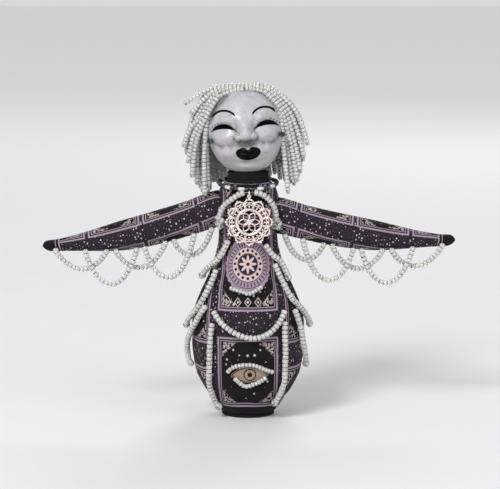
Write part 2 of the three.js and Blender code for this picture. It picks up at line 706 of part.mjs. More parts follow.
function makeHair(head) {
  const outer = CLEARANCE + WIG_CAP_THICKNESS;
  const size = 4 * SKULL_HEIGHT;
  const cap = solid(skull(outer))
    .subtract(solid(skull(CLEARANCE)))
    .subtract(slab(size, size, size, 0, FACE_BACK_Y + CLEARANCE - size / 2, 0))
    .subtract(slab(size, size, size, 0, 0, CAP_EDGE_Z - size / 2));
  const quarter = (side, back) =>
    slab(
      size / 2,
      size,
      size,
      side * (size / 4 + CLEARANCE / 2),
      back ? CAP_SPLIT_Y + CLEARANCE + size / 2 : CAP_SPLIT_Y - size / 2,
      0,
    );
  const within = solid(skull(CLEARANCE));
  const wig = (strands, room) => {
    const whole = strands.reduce((sum, one) => sum.add(one), cap);
    return whole.subtract(within).intersect(room);
  };
  const crown = SKULL_HEIGHT / 2 + CLEARANCE + WIG_CAP_THICKNESS / 2;
  const rootAt = (roots, side, i) =>
    new THREE.Vector3(side * PARTING, roots.y + roots.pitch * i, crown - roots.sink);
  for (const [name, side] of SIDES) {
    const strands = SIDE_TIPS[name].map(([reach, up, y], i) => {
      const azimuth = side * (90 + SIDE_FAN * y);
      const tip = new THREE.Vector3(side * reach, y, up);
      return hairStrand(rootAt(SIDE_ROOTS, side, i), azimuth, SIDE_LAYERS[i % 2], tip);
    });
    piece(`hair_${name}_side`, wig(strands, quarter(side, false)), "glass", head);

    const behind = BACK_AZIMUTHS.map((azimuth, i) => {
      const [reach, up] = BACK_TIPS[i];
      const turn = radians(azimuth);
      const tip = new THREE.Vector3(side * reach * Math.sin(turn), -reach * Math.cos(turn), up);
      return hairStrand(rootAt(BACK_ROOTS, side, i), side * azimuth, i % 2, tip);
    });
    piece(`hair_${name}_back`, wig(behind, quarter(side, true)), "glass", head);
  }
}

// Arms: cloth wings sewn to the torso along an upright seam, stuffed, with bead loops along the lower edge

const ARM_SIDES = 14;
const ARM_STEPS = 10;
const LOOP_STEP = 3.6;
const ARM_ROOT_OVERRUN = 6;
const ARM_TIP_ROUND = 12;
const LEAST_RING = 0.2; // radius under which a ring of the arm is left out at its tip
const ARM_STATIONS = [
  [-ARM_ROOT_OVERRUN, ARM_ROOT_HEIGHT / 2],
  [0, ARM_ROOT_HEIGHT / 2],
  [ARM_MIDDLE_SHARE * ARM_LENGTH, ARM_MIDDLE_HEIGHT / 2],
  [ARM_CUFF_SHARE * ARM_LENGTH, ARM_CUFF_HEIGHT / 2],
  [ARM_LENGTH, ARM_TIP_HEIGHT / 2],
];
const seamX = (arm) => torsoHalfWidth(arm.seamZ);

function armHalfHeight(u) {
  const tip = Math.max(0, (u - ARM_LENGTH + ARM_TIP_ROUND) / ARM_TIP_ROUND);
  return through(ARM_STATIONS, u) * Math.sqrt(Math.max(0, 1 - tip ** 2));
}

const armSag = (u) => -ARM_SAG * Math.sin((Math.PI * THREE.MathUtils.clamp(u, 0, ARM_LENGTH)) / ARM_LENGTH);

// Turns an arm's own place (along, front to back, up) into the doll's frame.
function armMatrix(arm) {
  return new THREE.Matrix4()
    .makeRotationZ(arm.turn)
    .multiply(new THREE.Matrix4().makeTranslation(seamX(arm), 0, arm.seamZ))
    .multiply(new THREE.Matrix4().makeRotationY(radians(arm.droop)));
}

function armSolid(inset, from) {
  const end = ARM_LENGTH - inset;
  const profile = [[0, from]];
  for (let i = 0; i < ARM_STEPS; i += 1) {
    const u = from + (end - from) * Math.sin((Math.PI / 2) * (i / ARM_STEPS));
    const radius = armHalfHeight(u) - inset;
    if (radius > LEAST_RING) profile.push([radius, u]);
  }
  profile.push([0, end]);
  const shape = revolve(profile, ARM_SIDES).rotateY(Math.PI / 2).scale(1, ARM_DEPTH_SHARE, 1);
  const spots = shape.getAttribute("position");
  for (let i = 0; i < spots.count; i += 1) spots.setZ(i, spots.getZ(i) + armSag(spots.getX(i)));
  return shape;
}

// The torso as the swinging arm meets it, so that the arm's root clears it over its whole range.
function torsoSweep(arm) {
  const forward = Math.cos(arm.turn);
  const turns = [-ARM_FORWARD_DEG, -ARM_FORWARD_DEG / 2, 0, ARM_BACK_DEG].map((turn) => turn * forward);
  const near = torsoSolid(arm.seamZ - ARM_ROOT_HEIGHT, NECK_SEAM_Z, -CLEARANCE);
  const seam = seamX(arm);
  return turns
    .map((turn) => near.translate([-seam, 0, 0]).rotate([0, 0, -turn]).translate([seam, 0, 0]))
    .reduce((sum, one) => sum.add(one))
    .rotate([0, 0, THREE.MathUtils.radToDeg(arm.turn)]);
}

// A place just under the lower edge of an arm, in the doll's frame.
function underArm(arm, u, row) {
  const half = armHalfHeight(u);
  const drop = half * Math.sqrt(1 - (row / (half * ARM_DEPTH_SHARE)) ** 2);
  const spot = new THREE.Vector3(u, row * Math.cos(arm.turn), armSag(u) - drop);
  return spot.applyMatrix4(armMatrix(arm)).add(new THREE.Vector3(0, 0, -LOOP_DROP));
}

const stitch = (k) => (k < 0 ? LOOP_SHOULDER_INSET : LOOP_FIRST + LOOP_PITCH * k);

// The line that the loops under an arm swing about, level with the middle of their stitches.
function fringeLine(arm) {
  const mean = (first, count) => {
    const sum = new THREE.Vector3();
    for (let k = first; k < first + count; k += 1) sum.add(underArm(arm, stitch(k), 0));
    return sum.divideScalar(count);
  };
  const half = (LOOP_COUNT + 1) / 2;
  const near = mean(0, half);
  return { near, along: mean(half, half).sub(near).normalize() };
}

// The arm as the swinging loops meet it, so that the ends of the loops clear it.
function armSweep(arm) {
  const { near, along } = fringeLine(arm);
  const shape = armSolid(-CLEARANCE, -ARM_ROOT_OVERRUN).applyMatrix4(armMatrix(arm));
  const turned = (degrees) =>
    shape
      .clone()
      .translate(-near.x, -near.y, -near.z)
      .applyMatrix4(new THREE.Matrix4().makeRotationAxis(along, radians(degrees)))
      .translate(near.x, near.y, near.z);
  return [-FRINGE_SWING_DEG, 0, FRINGE_SWING_DEG]
    .map((degrees) => solid(turned(degrees)))
    .reduce((sum, one) => sum.add(one));
}

function makeArm(arm) {
  const place = armMatrix(arm);
  const cut = torsoSweep(arm);
  const outer = solid(armSolid(0, -ARM_ROOT_OVERRUN).applyMatrix4(place));
  const hollow = solid(armSolid(CLOTH, -ARM_ROOT_OVERRUN - CUT_OVERRUN).applyMatrix4(place));
  piece(`${arm.name}_arm_cloth`, outer.subtract(hollow).subtract(cut), "print");
  const filling = solid(armSolid(CLOTH + STUFFING_PLAY, -ARM_ROOT_OVERRUN).applyMatrix4(place));
  piece(`${arm.name}_arm_stuffing`, filling.subtract(cut), "stuffing");

  const trim = armSweep(arm);
  for (let k = 0; k < LOOP_COUNT; k += 1) {
    const long = k % 2 === 1;
    const row = long ? -ROW_OFFSET : ROW_OFFSET;
    const hung = k === 0 ? LOOP_AT_SHOULDER : long ? LOOP_LONG : LOOP_SHORT;
    const side = BEAD / 2 + CLEARANCE;
    const start = underArm(arm, stitch(k - 1) + side, row);
    const end = underArm(arm, stitch(k + 1) - side, row);
    const route = new HangingStrand(start, end, hung);
    const loop = solid(tube(route, BEAD, Math.round(hung / LOOP_STEP))).subtract(trim);
    piece(`${arm.name}_loop_${k + 1}`, loop, "glass");
  }
}

makeTorso();
makeStrands();
makeCollar();
makePendant(makeHarness());
makeHead();
makeArm({ name: "right", seamZ: RIGHT_ARM_SEAM_Z, droop: RIGHT_ARM_DROOP_DEG, turn: Math.PI });
makeArm({ name: "left", seamZ: LEFT_ARM_SEAM_Z, droop: LEFT_ARM_DROOP_DEG, turn: 0 });

export default doll;
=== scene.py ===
"""A beaded art doll: stuffed printed cloth, strung glass beads, a clay face and a filigree charm."""

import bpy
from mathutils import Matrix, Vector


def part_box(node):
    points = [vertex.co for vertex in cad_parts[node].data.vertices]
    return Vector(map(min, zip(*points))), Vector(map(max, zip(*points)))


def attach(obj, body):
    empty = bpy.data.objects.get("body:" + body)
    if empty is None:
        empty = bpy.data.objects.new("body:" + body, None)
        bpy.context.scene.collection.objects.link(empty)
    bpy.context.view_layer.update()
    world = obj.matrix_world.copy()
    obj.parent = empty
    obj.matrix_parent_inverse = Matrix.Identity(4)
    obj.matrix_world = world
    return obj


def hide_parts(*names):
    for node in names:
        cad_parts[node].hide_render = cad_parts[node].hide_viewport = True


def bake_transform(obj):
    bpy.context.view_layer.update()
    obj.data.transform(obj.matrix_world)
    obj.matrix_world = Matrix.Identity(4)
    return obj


bl_info = {
    "name": "Beaded Art Doll",
    "version": (1, 0, 0),
    "blender": (4, 5, 0),
    "location": "View3D > Sidebar > Doll",
    "description": "Makes the cloth, beads, clay face and charm of an art doll around its solids",
    "category": "Object",
}

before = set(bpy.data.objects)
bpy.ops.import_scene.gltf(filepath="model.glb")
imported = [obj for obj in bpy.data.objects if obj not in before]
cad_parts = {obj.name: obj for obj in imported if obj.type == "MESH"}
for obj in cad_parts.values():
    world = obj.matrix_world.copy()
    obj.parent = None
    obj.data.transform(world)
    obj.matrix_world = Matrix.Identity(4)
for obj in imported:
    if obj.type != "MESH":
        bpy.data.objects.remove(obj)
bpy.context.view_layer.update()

import math
import random

import bmesh
import bpy
from bpy.props import FloatProperty, FloatVectorProperty, IntProperty, PointerProperty
from bpy.types import Operator, Panel, PropertyGroup
from mathutils import Matrix, Vector

MM = 0.001  # shapes are worked out in millimetres and turned to metres when a piece is finished
SIDES = {"right": -1, "left": 1}  # the doll's own sides: its right arm points along -X

# Torso: half widths at heights, as the solids have them, and the depth as a share of the width
TORSO_STATIONS = [
    (0, 13.5), (9, 19.75), (22, 27.3), (42, 29.8), (56, 28.2),
    (78, 19), (92, 15.9), (108, 17), (116, 15.6), (120.5, 12.6),
]
TORSO_DEPTH = 0.86
TORSO_FOOT = 1.5
NECK_SEAM = 120.5

# Bead strands on the torso, as angle from the front in degrees and height
TORSO_STRANDS = {
    "right_upper_strand": [(-34, 91.5), (-44, 85), (-52, 81), (-64, 78), (-82, 73.5), (-88, 71.5)],
    "right_middle_strand": [
        (-48.8, 76.2), (-50.5, 69.6), (-53.7, 62.6), (-59.5, 56.8), (-69.3, 52.5), (-87, 46.7),
    ],
    "right_lower_strand": [
        (-46.8, 58.5), (-52, 54.8), (-58.2, 49.8), (-67.5, 44.4), (-82, 37), (-88, 31.5), (-74, 28.3),
    ],
    "right_long_strand": [
        (-35.3, 50.9), (-37.1, 42), (-38.6, 32.9), (-41.1, 25), (-46.4, 16.5), (-50.5, 9.6), (-49, 7.2),
    ],
    "left_upper_strand": [(29, 89.5), (40.7, 83.9), (55.3, 80.1), (61.4, 75.7), (61.5, 72.1)],
    "left_middle_strand": [
        (41.6, 79.3), (45.1, 73.5), (48.5, 67.7), (53.1, 61.8), (62.3, 57.6), (74.7, 51.9), (87, 47.2),
    ],
    "left_lower_strand": [
        (52.1, 56.5), (54.9, 51.7), (59.2, 45.6), (63.7, 38.3), (72.3, 30.7), (77, 27.8),
    ],
    "left_long_strand": [
        (36.7, 51.6), (35.9, 45.1), (37, 36.7), (37.5, 29.1), (39.3, 22.7), (40.3, 17.1), (40.1, 12.2),
        (38.7, 9.9),
    ],
    "belly_swag": [
        (-35.5, 56.4), (-26, 51.5), (-13, 47), (3, 44.3), (17.1, 45.9), (28.3, 50.3), (38.5, 56.6),
    ],
}
DECLARED_FROM = 30  # a strand shorter than this is trim, and a longer one is passed to declare_strand, which only turns its route into metres
SEWN_EDGES = {
    "roundel_edge": [
        (-22, 68.2), (-14.5, 67.3), (-7.4, 66.6), (-1.3, 65.6), (4.7, 66), (11.8, 67.7), (17.5, 68.8),
    ],
    "eye_upper_edge": [
        (-20.7, 26.4), (-16, 28.8), (-8.3, 30.3), (-1.8, 30.6), (4.6, 30.5), (11.2, 29.3), (18.1, 27.7),
        (25.5, 26.4),
    ],
    "eye_lower_edge": [(-14, 23.6), (-7.6, 20.8), (-2.2, 19.4), (5.5, 20.4), (12.9, 22), (18.5, 24)],
}
HARNESS = {
    "right": [(-6, 115.6), (-15, 114.6), (-28, 112), (-39, 109.3), (-47, 106), (-51, 102)],
    "left": [(10, 115.6), (18, 115.2), (29, 113.6), (39, 110.5), (47, 106.5), (51, 101.5)],
}
COLLAR_FRONT = 117
COLLAR_BACK = 121.6
COLLAR_TIE = 3  # degrees that the tied ends stay apart

# Arms: half heights along their length, and how each one is sewn on
ARM_LENGTH = 90
ARM_STATIONS = [(-6, 10), (0, 10), (45, 9.1), (76.5, 4.8), (90, 3.7)]
ARM_TIP_ROUND = 5
ARM_DEPTH = 0.78
ARM_SAG = 3
ARM_SEAM = {"right": 106, "left": 102.6}
ARM_DROOP = {"right": 12.2, "left": 8}
LOOP_STITCHES = [1.2, 10.5, 25.5, 40.5, 55.5, 70.5, 85.5]
LOOP_LENGTHS = [32, 49, 37, 48, 36]
LOOP_LAP = 3  # how far above the lower edge of the arm a loop is sewn to its front
LOOP_BEHIND = 3.2  # how far a short loop hangs behind the long ones

# Head: its own frame is turned by the roll and set on the neck
HEAD_PLACE = Matrix.Translation((-1.2, 0, 145)) @ Matrix.Rotation(math.radians(-5.5), 4, "Y")
SKULL = (17.5, 16.5, 19.3)
FACE = (19, 16, 20.7)
FACE_BACK = -2
FACE_TOP = 22.2
FEATURES_UP = 1.9  # how far the features stand above their own middle line
MOUTH = (0.5, -10.9)
MOUTH_HALF = (6.2, 3.4)


class DollSizes(PropertyGroup):
    """Sizes of the beads, the cloth and the wire"""

    bead: FloatProperty(
        name="Bead", description="Diameter of a strung seed bead", default=3 * MM, unit="LENGTH"
    )
    bead_pitch: FloatProperty(
        name="Bead Pitch", description="Distance from bead to bead", default=2.15 * MM, unit="LENGTH"
    )
    small_bead: FloatProperty(
        name="Small Bead", description="Diameter of a bead of the sewn edges", default=2.3 * MM, unit="LENGTH"
    )
    small_pitch: FloatProperty(
        name="Small Pitch", description="Distance from one small bead to the next", default=1.7 * MM,
        unit="LENGTH",
    )
    hair_bead: FloatProperty(
        name="Hair Bead", description="Diameter of a bead of the wig", default=2.7 * MM, unit="LENGTH"
    )
    hair_pitch: FloatProperty(
        name="Hair Pitch", description="Distance from bead to bead in the wig", default=1.95 * MM,
        unit="LENGTH",
    )
    hair_back: IntProperty(
        name="Strands Behind", description="Strands in one layer on half of the back", default=11, min=3
    )
    swell: FloatProperty(
        name="Swell", description="How far the stuffing may swell the cloth", default=0.8 * MM, unit="LENGTH"
    )
    weave: FloatProperty(
        name="Weave", description="Distance from thread to thread of the cotton", default=0.4 * MM,
        unit="LENGTH",
    )
    wire: FloatProperty(
        name="Wire", description="Diameter of the charm's filigree wire", default=0.7 * MM, unit="LENGTH"
    )


def colour(name, description, *value):
    return FloatVectorProperty(
        name=name, description=description, default=value, size=3, subtype="COLOR", min=0, max=1
    )


class DollColours(PropertyGroup):
    """Colours of the cloth, the beads, the clay and the stage"""

    cloth: colour("Cloth", "Ground of the printed cotton", 0.006, 0.005, 0.007)
    plum: colour("Plum", "Speckled bands of the print", 0.021, 0.015, 0.025)
    lilac: colour("Lilac", "Frames of the print", 0.36, 0.27, 0.35)
    cream: colour("Cream", "Ornaments and stars of the print", 0.62, 0.50, 0.48)
    tan: colour("Tan", "Almond on the lower belly", 0.40, 0.30, 0.22)
    clay: colour("Clay", "Clay of the face", 0.53, 0.50, 0.54)
    # darker clay for the random mottling, and the colour of the painted shade in the face's hollows and folds
    mottle_and_shade_tint: colour("Smudge", "Rubbed colour in the hollows of the face", 0.085, 0.072, 0.072)
    ink: colour("Ink", "Paint of the eyes, brows and lips", 0.002, 0.002, 0.0025)
    glass: colour("Glass", "Glass of a silver-lined bead", 0.97, 0.97, 0.94)
    # painted shade: the glass at a bead's ends, where it meets the next bead
    glass_end_shade: colour("Glass End", "Glass where two beads touch", 0.36, 0.37, 0.32)
    lining: colour("Lining", "Bright lining of a bead's hole", 0.97, 0.96, 0.94)
    iris: colour("Iris", "Dark iridescent beads", 0.006, 0.012, 0.018)
    sheen: colour("Sheen", "Bright side of an iridescent bead", 0.03, 0.16, 0.22)
    bugle: colour("Bugle", "White bugle beads of the collar", 0.82, 0.82, 0.83)
    silver: colour("Silver", "Rose silver of the charm", 0.92, 0.80, 0.76)
    patina: colour("Patina", "Dark patina in the filigree", 0.16, 0.11, 0.10)
    wood: colour("Wood", "Neck post", 0.50, 0.32, 0.16)
    muslin: colour("Muslin", "Pellet bag", 0.42, 0.40, 0.35)
    floor: colour("Floor", "Pale floor", 0.80, 0.80, 0.81)


# Shader values

class Value:
    """A shader value. Arithmetic adds Math nodes; | is the larger of two values and & the smaller."""

    def __init__(self, paint, socket):
        self.paint = paint
        self.socket = socket

    def math(self, operation, *others):
        return self.paint.math(operation, self, *others)

    def __add__(self, other):
        return self.math("ADD", other)

    def __sub__(self, other):
        return self.math("SUBTRACT", other)

    def __rsub__(self, other):
        return self.paint.math("SUBTRACT", other, self)

    def __mul__(self, other):
        return self.math("MULTIPLY", other)

    def __truediv__(self, other):
        return self.math("DIVIDE", other)

    def __pow__(self, other):
        return self.math("POWER", other)

    def __or__(self, other):
        return self.math("MAXIMUM", other)

    def __and__(self, other):
        return self.math("MINIMUM", other)

    def __abs__(self):
        return self.math("ABSOLUTE")

    def __neg__(self):
        return self * -1

    __radd__ = __add__
    __rmul__ = __mul__


class Paint:
    """One material, or the world: its shader, the constants and the nodes that feed it."""

    def __init__(self, name, constants, world=None):
        self.material = world or bpy.data.materials.new(name)
        self.material.use_nodes = True
        self.tree = self.material.node_tree
        self.shader = self.tree.nodes["Background" if world else "Principled BSDF"]
        for socket, value in constants.items():
            self.feed(self.shader.inputs[socket], value)

    def feed(self, socket, value):
        if isinstance(value, Value):
            self.tree.links.new(value.socket, socket)
        elif socket.type == "RGBA":
            socket.default_value = (*value[:3], 1)
        else:
            socket.default_value = value

    def node(self, kind, settings=None, inputs=None, output=0):
        made = self.tree.nodes.new(kind)
        for name, value in (settings or {}).items():
            setattr(made, name, value)
        for name, value in (inputs or {}).items():
            self.feed(made.inputs[name], value)
        return Value(self, made.outputs[output])

    def math(self, operation, *values):
        return self.node("ShaderNodeMath", {"operation": operation}, dict(enumerate(values)))

    def mix(self, share, first, second):
        inputs = {0: share, 6: first, 7: second}
        return self.node("ShaderNodeMix", {"data_type": "RGBA"}, inputs, 2)

    def vector(self, x, y, z=0.0):
        return self.node("ShaderNodeCombineXYZ", None, {0: x, 1: y, 2: z})

    def parts(self, vector):
        return [self.node("ShaderNodeSeparateXYZ", None, {0: vector}, i) for i in range(3)]

    def spot(self):
        return self.node("ShaderNodeTexCoord", None, None, "Object")

    def flat(self, name):
        """Flat coordinates of a piece in millimetres, from its UV map in decimetres."""
        u, v, _ = self.parts(self.node("ShaderNodeUVMap", {"uv_map": name}))
        return u * 100, v * 100

    def inside(self, distance, soft=0.1):
        """1 where a distance is below zero, with a soft edge."""
        inputs = {"Value": distance, "From Min": soft, "From Max": -soft}
        return self.node("ShaderNodeMapRange", {"interpolation_type": "SMOOTHSTEP"}, inputs)

    def stroke(self, distance, width, soft=0.1):
        return self.inside(abs(distance) - width / 2, soft)

    def noise(self, vector, scale, detail=3.0, roughness=0.55):
        inputs = {"Vector": vector, "Scale": scale, "Detail": detail, "Roughness": roughness}
        return self.node("ShaderNodeTexNoise", None, inputs)

    def cells(self, u, v, pitch):
        """Distance to the nearest of scattered points, in millimetres, and a random number for each."""
        inputs = {"Vector": self.vector(u / pitch, v / pitch), "Scale": 1.0}
        near = self.node("ShaderNodeTexVoronoi", {"voronoi_dimensions": "2D"}, inputs)
        tone = Value(self, near.socket.node.outputs["Color"])
        return near * pitch, self.parts(tone)[0]

    def repeat(self, value, pitch):
        """Distance from the middle of the nearest repeat."""
        inputs = {0: value, 1: pitch / 2, 2: -pitch / 2}
        return self.node("ShaderNodeMath", {"operation": "WRAP"}, inputs)

    def bump(self, height, distance, strength=1.0):
        inputs = {"Strength": strength, "Distance": distance, "Height": height}
        return self.node("ShaderNodeBump", None, inputs)

    def seen(self):
        """1 for what the camera sees, directly or in metal and glass."""
        rays = ("Is Camera Ray", "Is Glossy Ray", "Is Transmission Ray")
        direct, mirrored, through_glass = (self.node("ShaderNodeLightPath", None, None, ray) for ray in rays)
        return direct | mirrored | through_glass

    def finish(self, **links):
        for socket, value in links.items():
            self.feed(self.shader.inputs[socket.replace("_", " ")], value)
        return self.material


# Materials

CLOTH = {"Roughness": 0.85, "Specular IOR Level": 0.14, "Sheen Weight": 0.04, "Sheen Roughness": 0.5}


def weave(paint, u, v, pitch):
    """Height of a plain weave."""
    over = (u * (math.pi / pitch)).math("SINE") * (v * (math.pi / pitch)).math("SINE")
    return over * 0.5 + 0.5


def cotton_height(paint, u, v, pitch):
    rumple = paint.noise(paint.vector(u, v), 0.22, 2.0) * 6
    return weave(paint, u, v, pitch) * 0.35 + rumple


def framed_print(paint, tints, u, v, across, along):
    """Framed panels on a speckled ground. across and along are the distances inside a panel's edges."""
    depth = across & along
    panel = paint.inside(-depth)
    speck, luck = paint.cells(u, v, 1.45)
    stars = paint.inside(speck - luck ** 3 * 0.4)
    ground = paint.mix(stars, tints.plum, tints.cream)

    curl, turn = paint.cells(u, v, 1.45)
    lace = paint.stroke(curl - 0.3 - turn * 0.2, 0.34, 0.14)
    corner = paint.inside(across + along - 11.5, 0.8) & paint.inside(2.2 - depth, 0.15)
    far, chance = paint.cells(u, v, 3.5)
    sky = paint.inside(far - (chance - 0.4) * 1.1) & paint.inside(2.8 - depth)
    inner = paint.mix((lace & corner) | sky, tints.cloth, tints.cream)

    rule = paint.stroke(depth - 0.1, 0.95) | paint.stroke(depth - 1.45, 0.45)
    return paint.mix(rule, paint.mix(panel, ground, inner), tints.lilac)


COLUMN = 37  # width of a panel with its band
PANEL_HALF = 15.6
PANEL_ROWS = [(25.5, 18.5), (79, 21.5), (112.6, 9), (138, 14.5)]
COLUMN_STEP = 17  # how much lower the panels stand in the next column
ROUNDEL = (79.8, 13.3)
ALMOND = (1.0, 25.3, 9.8, 4.4)
BLACK_FOOT = 6.5


def roundel(paint, tints, u, v):
    """A plain dial: ticks round a flower. Returns its mask and colour."""
    rise = v - ROUNDEL[0]
    r = (u * u + rise * rise) ** 0.5
    turn = paint.math("ARCTAN2", u, rise)
    rim = (turn * 28).math("COSINE") * 0.3
    disc = paint.inside(r - ROUNDEL[1] - rim)
    ring = paint.stroke(r - 11.6, 0.3) | paint.stroke(r - 8.6, 0.35) | paint.stroke(r - 5.4, 0.35)
    spoke = paint.stroke(paint.repeat(turn, math.pi / 18) * 10, 0.55) & paint.stroke(r - 10.1, 2.0)
    pearl = paint.repeat(turn, math.pi / 8) * 7
    pearls = paint.inside((pearl * pearl + (r - 7) * (r - 7)) ** 0.5 - 0.75)
    flower = paint.inside(r - 3.4 - (turn * 8).math("COSINE") * 1.3)
    well = paint.inside(r - 5.2) & (1 - flower)
    eye = paint.inside(r - 0.9)
    dark = ring | spoke | pearls | well | eye
    pale = paint.mix(paint.inside(r - 8.4), tints.lilac, tints.cream)
    return disc, paint.mix(dark, pale, tints.plum)


def almond(paint, tints, u, v):
    """A tan almond with plain rings. Returns its mask and colour."""
    middle, height, half, rise = ALMOND
    across = u - middle
    up = v - height
    bend = (half * half + rise * rise) / (2 * rise)
    arc = bend - rise
    high = (across * across + (up + arc) * (up + arc)) ** 0.5 - bend
    low = (across * across + (up - arc) * (up - arc)) ** 0.5 - bend
    edge = high | low
    r = (across * across + up * up) ** 0.5
    rings = paint.stroke(r - 3.0, 0.6) | paint.inside(r - 1.25) | paint.stroke(edge + 0.5, 0.45)
    return paint.inside(edge), paint.mix(rings, tints.tan, tints.cloth)


def torso_cotton(sizes, tints):
    paint = Paint("printed_cotton_torso", CLOTH)
    u, v = paint.flat("cloth")
    away = abs(u)
    column = ((away + COLUMN / 2) / COLUMN).math("FLOOR")
    across = PANEL_HALF - abs(paint.repeat(away, COLUMN))
    level = v + column * COLUMN_STEP
    along = None
    for middle, half in PANEL_ROWS:
        row = half - abs(level - middle)
        along = row if along is None else along | row
    cloth = framed_print(paint, tints, u, v, across, along)

    gem = abs(paint.repeat(u, 5.2)) + abs(v - 61.6) * 0.8 - 1.7
    gems = (paint.stroke(gem, 0.42) | paint.inside(gem + 1.1)) & paint.inside(away - 10.6)
    cloth = paint.mix(gems, cloth, tints.cream)
    for mask, tone in (roundel(paint, tints, u, v), almond(paint, tints, u, v)):
        cloth = paint.mix(mask & paint.inside(away - 18), cloth, tone)
    cloth = paint.mix(paint.inside(v - BLACK_FOOT), cloth, tints.cloth)
    return printed(paint, sizes, cloth, u, v)


def printed(paint, sizes, cloth, u, v):
    """Wears a print a little and gives it the bump of its weave."""
    pitch = sizes.weave / MM
    wear = paint.noise(paint.vector(u, v), 0.5, 4.0) * 0.5 + weave(paint, u, v, pitch) * 0.25
    shade = paint.mix(wear, cloth, (0.10, 0.09, 0.10))
    faded = paint.mix(0.07, cloth, shade)
    bump = paint.bump(cotton_height(paint, u, v, pitch), 0.1 * MM)
    return paint.finish(Base_Color=faded, Normal=bump)


ARM_BAND = 4.4
ARM_PANEL = 29
ARM_CUFF = 81


def arm_cotton(sizes, tints):
    paint = Paint("printed_cotton_arm", CLOTH)
    u, v = paint.flat("cloth")
    middle = 1.8 - u * 0.055
    along = abs(v - middle) - ARM_BAND
    across = ARM_PANEL / 2 - 1.2 - abs(paint.repeat(u + 6, ARM_PANEL))
    cloth = framed_print(paint, tints, u, v, across, along)
    cuff = paint.stroke(u - ARM_CUFF, 0.7) | paint.stroke(u - ARM_CUFF - 1.8, 0.4)
    cloth = paint.mix(paint.inside(ARM_CUFF - u), cloth, tints.cloth)
    cloth = paint.mix(cuff, cloth, tints.lilac)
    return printed(paint, sizes, cloth, u, v)


def plain_cotton(name, sizes, tint):
    paint = Paint(name, CLOTH)
    u, v = paint.flat("cloth")
    pitch = sizes.weave / MM
    lint = paint.noise(paint.vector(u, v), 0.9, 5.0)
    lighter = tuple(min(1, part * 1.8 + 0.004) for part in tint)
    tone = paint.mix(lint * 0.5 + weave(paint, u, v, pitch) * 0.2, tint, lighter)
    return paint.finish(Base_Color=tone, Normal=paint.bump(cotton_height(paint, u, v, pitch), 0.1 * MM))


BEAD_END = 43  # percent of a bead's length from its middle to where painted shade darkens its glass


def silver_lined(tints):
    """Cloudy clear glass with painted shade towards a bead's ends, where it meets the next, and the bright
    lining on the wall of its hole.
    """
    glass = Paint("bead_glass", {"Roughness": 0.08, "IOR": 1.5, "Transmission Weight": 0.5})
    luck, along = glass.flat("bead")
    cloud = glass.noise(glass.spot(), 900, 2.0)
    dim = tuple(part * 0.9 for part in tints.glass)
    tone = glass.mix(luck / 100 * 0.7 + cloud * 0.4, dim, tints.glass)
    # painted shade towards both ends of every bead
    ends = glass.inside(BEAD_END - abs(along - 50), 6.0)
    lining = Paint("bead_lining", {"Roughness": 0.3})
    spark = lining.noise(lining.spot(), 1200, 2.0)
    dull = tuple(part * 0.86 for part in tints.lining)
    return [
        glass.finish(Base_Color=glass.mix(ends, tone, tints.glass_end_shade)),
        lining.finish(Base_Color=lining.mix(spark, dull, tints.lining)),
    ]


def iris_glass(tints):
    """Nearly black glass with a coloured film, blue-green on most beads and bronze on a few."""
    constants = {"Roughness": 0.12, "Metallic": 0.7, "Coat Weight": 1.0, "Coat Roughness": 0.02}
    paint = Paint("iris_glass", constants)
    luck, _ = paint.flat("bead")
    film = paint.noise(paint.spot(), 420, 1.0)
    bronze = (0.22, 0.11, 0.05)
    purple = (0.05, 0.02, 0.09)
    hue = paint.mix(paint.inside(45 - luck, 2.0), tints.sheen, purple)
    hue = paint.mix(paint.inside(82 - luck, 2.0), hue, bronze)
    return paint.finish(Base_Color=paint.mix(film * 4.0 - 1.65, tints.iris, hue))


def white_glass(tints):
    paint = Paint("white_glass", {"Roughness": 0.18, "Coat Weight": 0.8, "Coat Roughness": 0.05})
    streak = paint.noise(paint.spot(), 700, 2.0)
    dim = tuple(part * 0.7 for part in tints.bugle)
    return paint.finish(Base_Color=paint.mix(streak, dim, tints.bugle))


# Middle, half width, height of the corners, rise of the upper arc and of the lower one
EYE = (10.9, 5.9, 0.7, 3.8, 1.3)
BROW = (10.0, 5.7, 8.2, 2.7)
BROW_WIDTH = 1.05
LASHES = [(13.3, 5.0), (14.8, 4.2), (16.2, 3.1), (17.4, 2.0)]
LASH = 0.32


def arc(across, up, middle, half, corners, rise):
    """Distance above an arc that rises between two corners."""
    bend = (half * half + rise * rise) / (2 * rise)
    height = up - (corners + rise - bend)
    return ((across - middle) ** 2 + height * height) ** 0.5 - bend


def painted_features(paint, side, up):
    """Closed eyes, brows and lashes."""
    upper = arc(side, up, *EYE[:4])
    lower = arc(side, up, *EYE[:3], EYE[4])
    marks = paint.inside(upper | -lower, 0.12)
    ends = paint.inside((abs(side - BROW[0]) - BROW[1]) | (BROW[2] - 0.6 - up), 0.4)
    marks = marks | (paint.stroke(arc(side, up, *BROW), BROW_WIDTH, 0.12) & ends)
    for across, height in LASHES:
        spot = (side - across) ** 2 + (up - height) ** 2
        marks = marks | paint.inside(spot ** 0.5 - LASH, 0.08)
    return marks


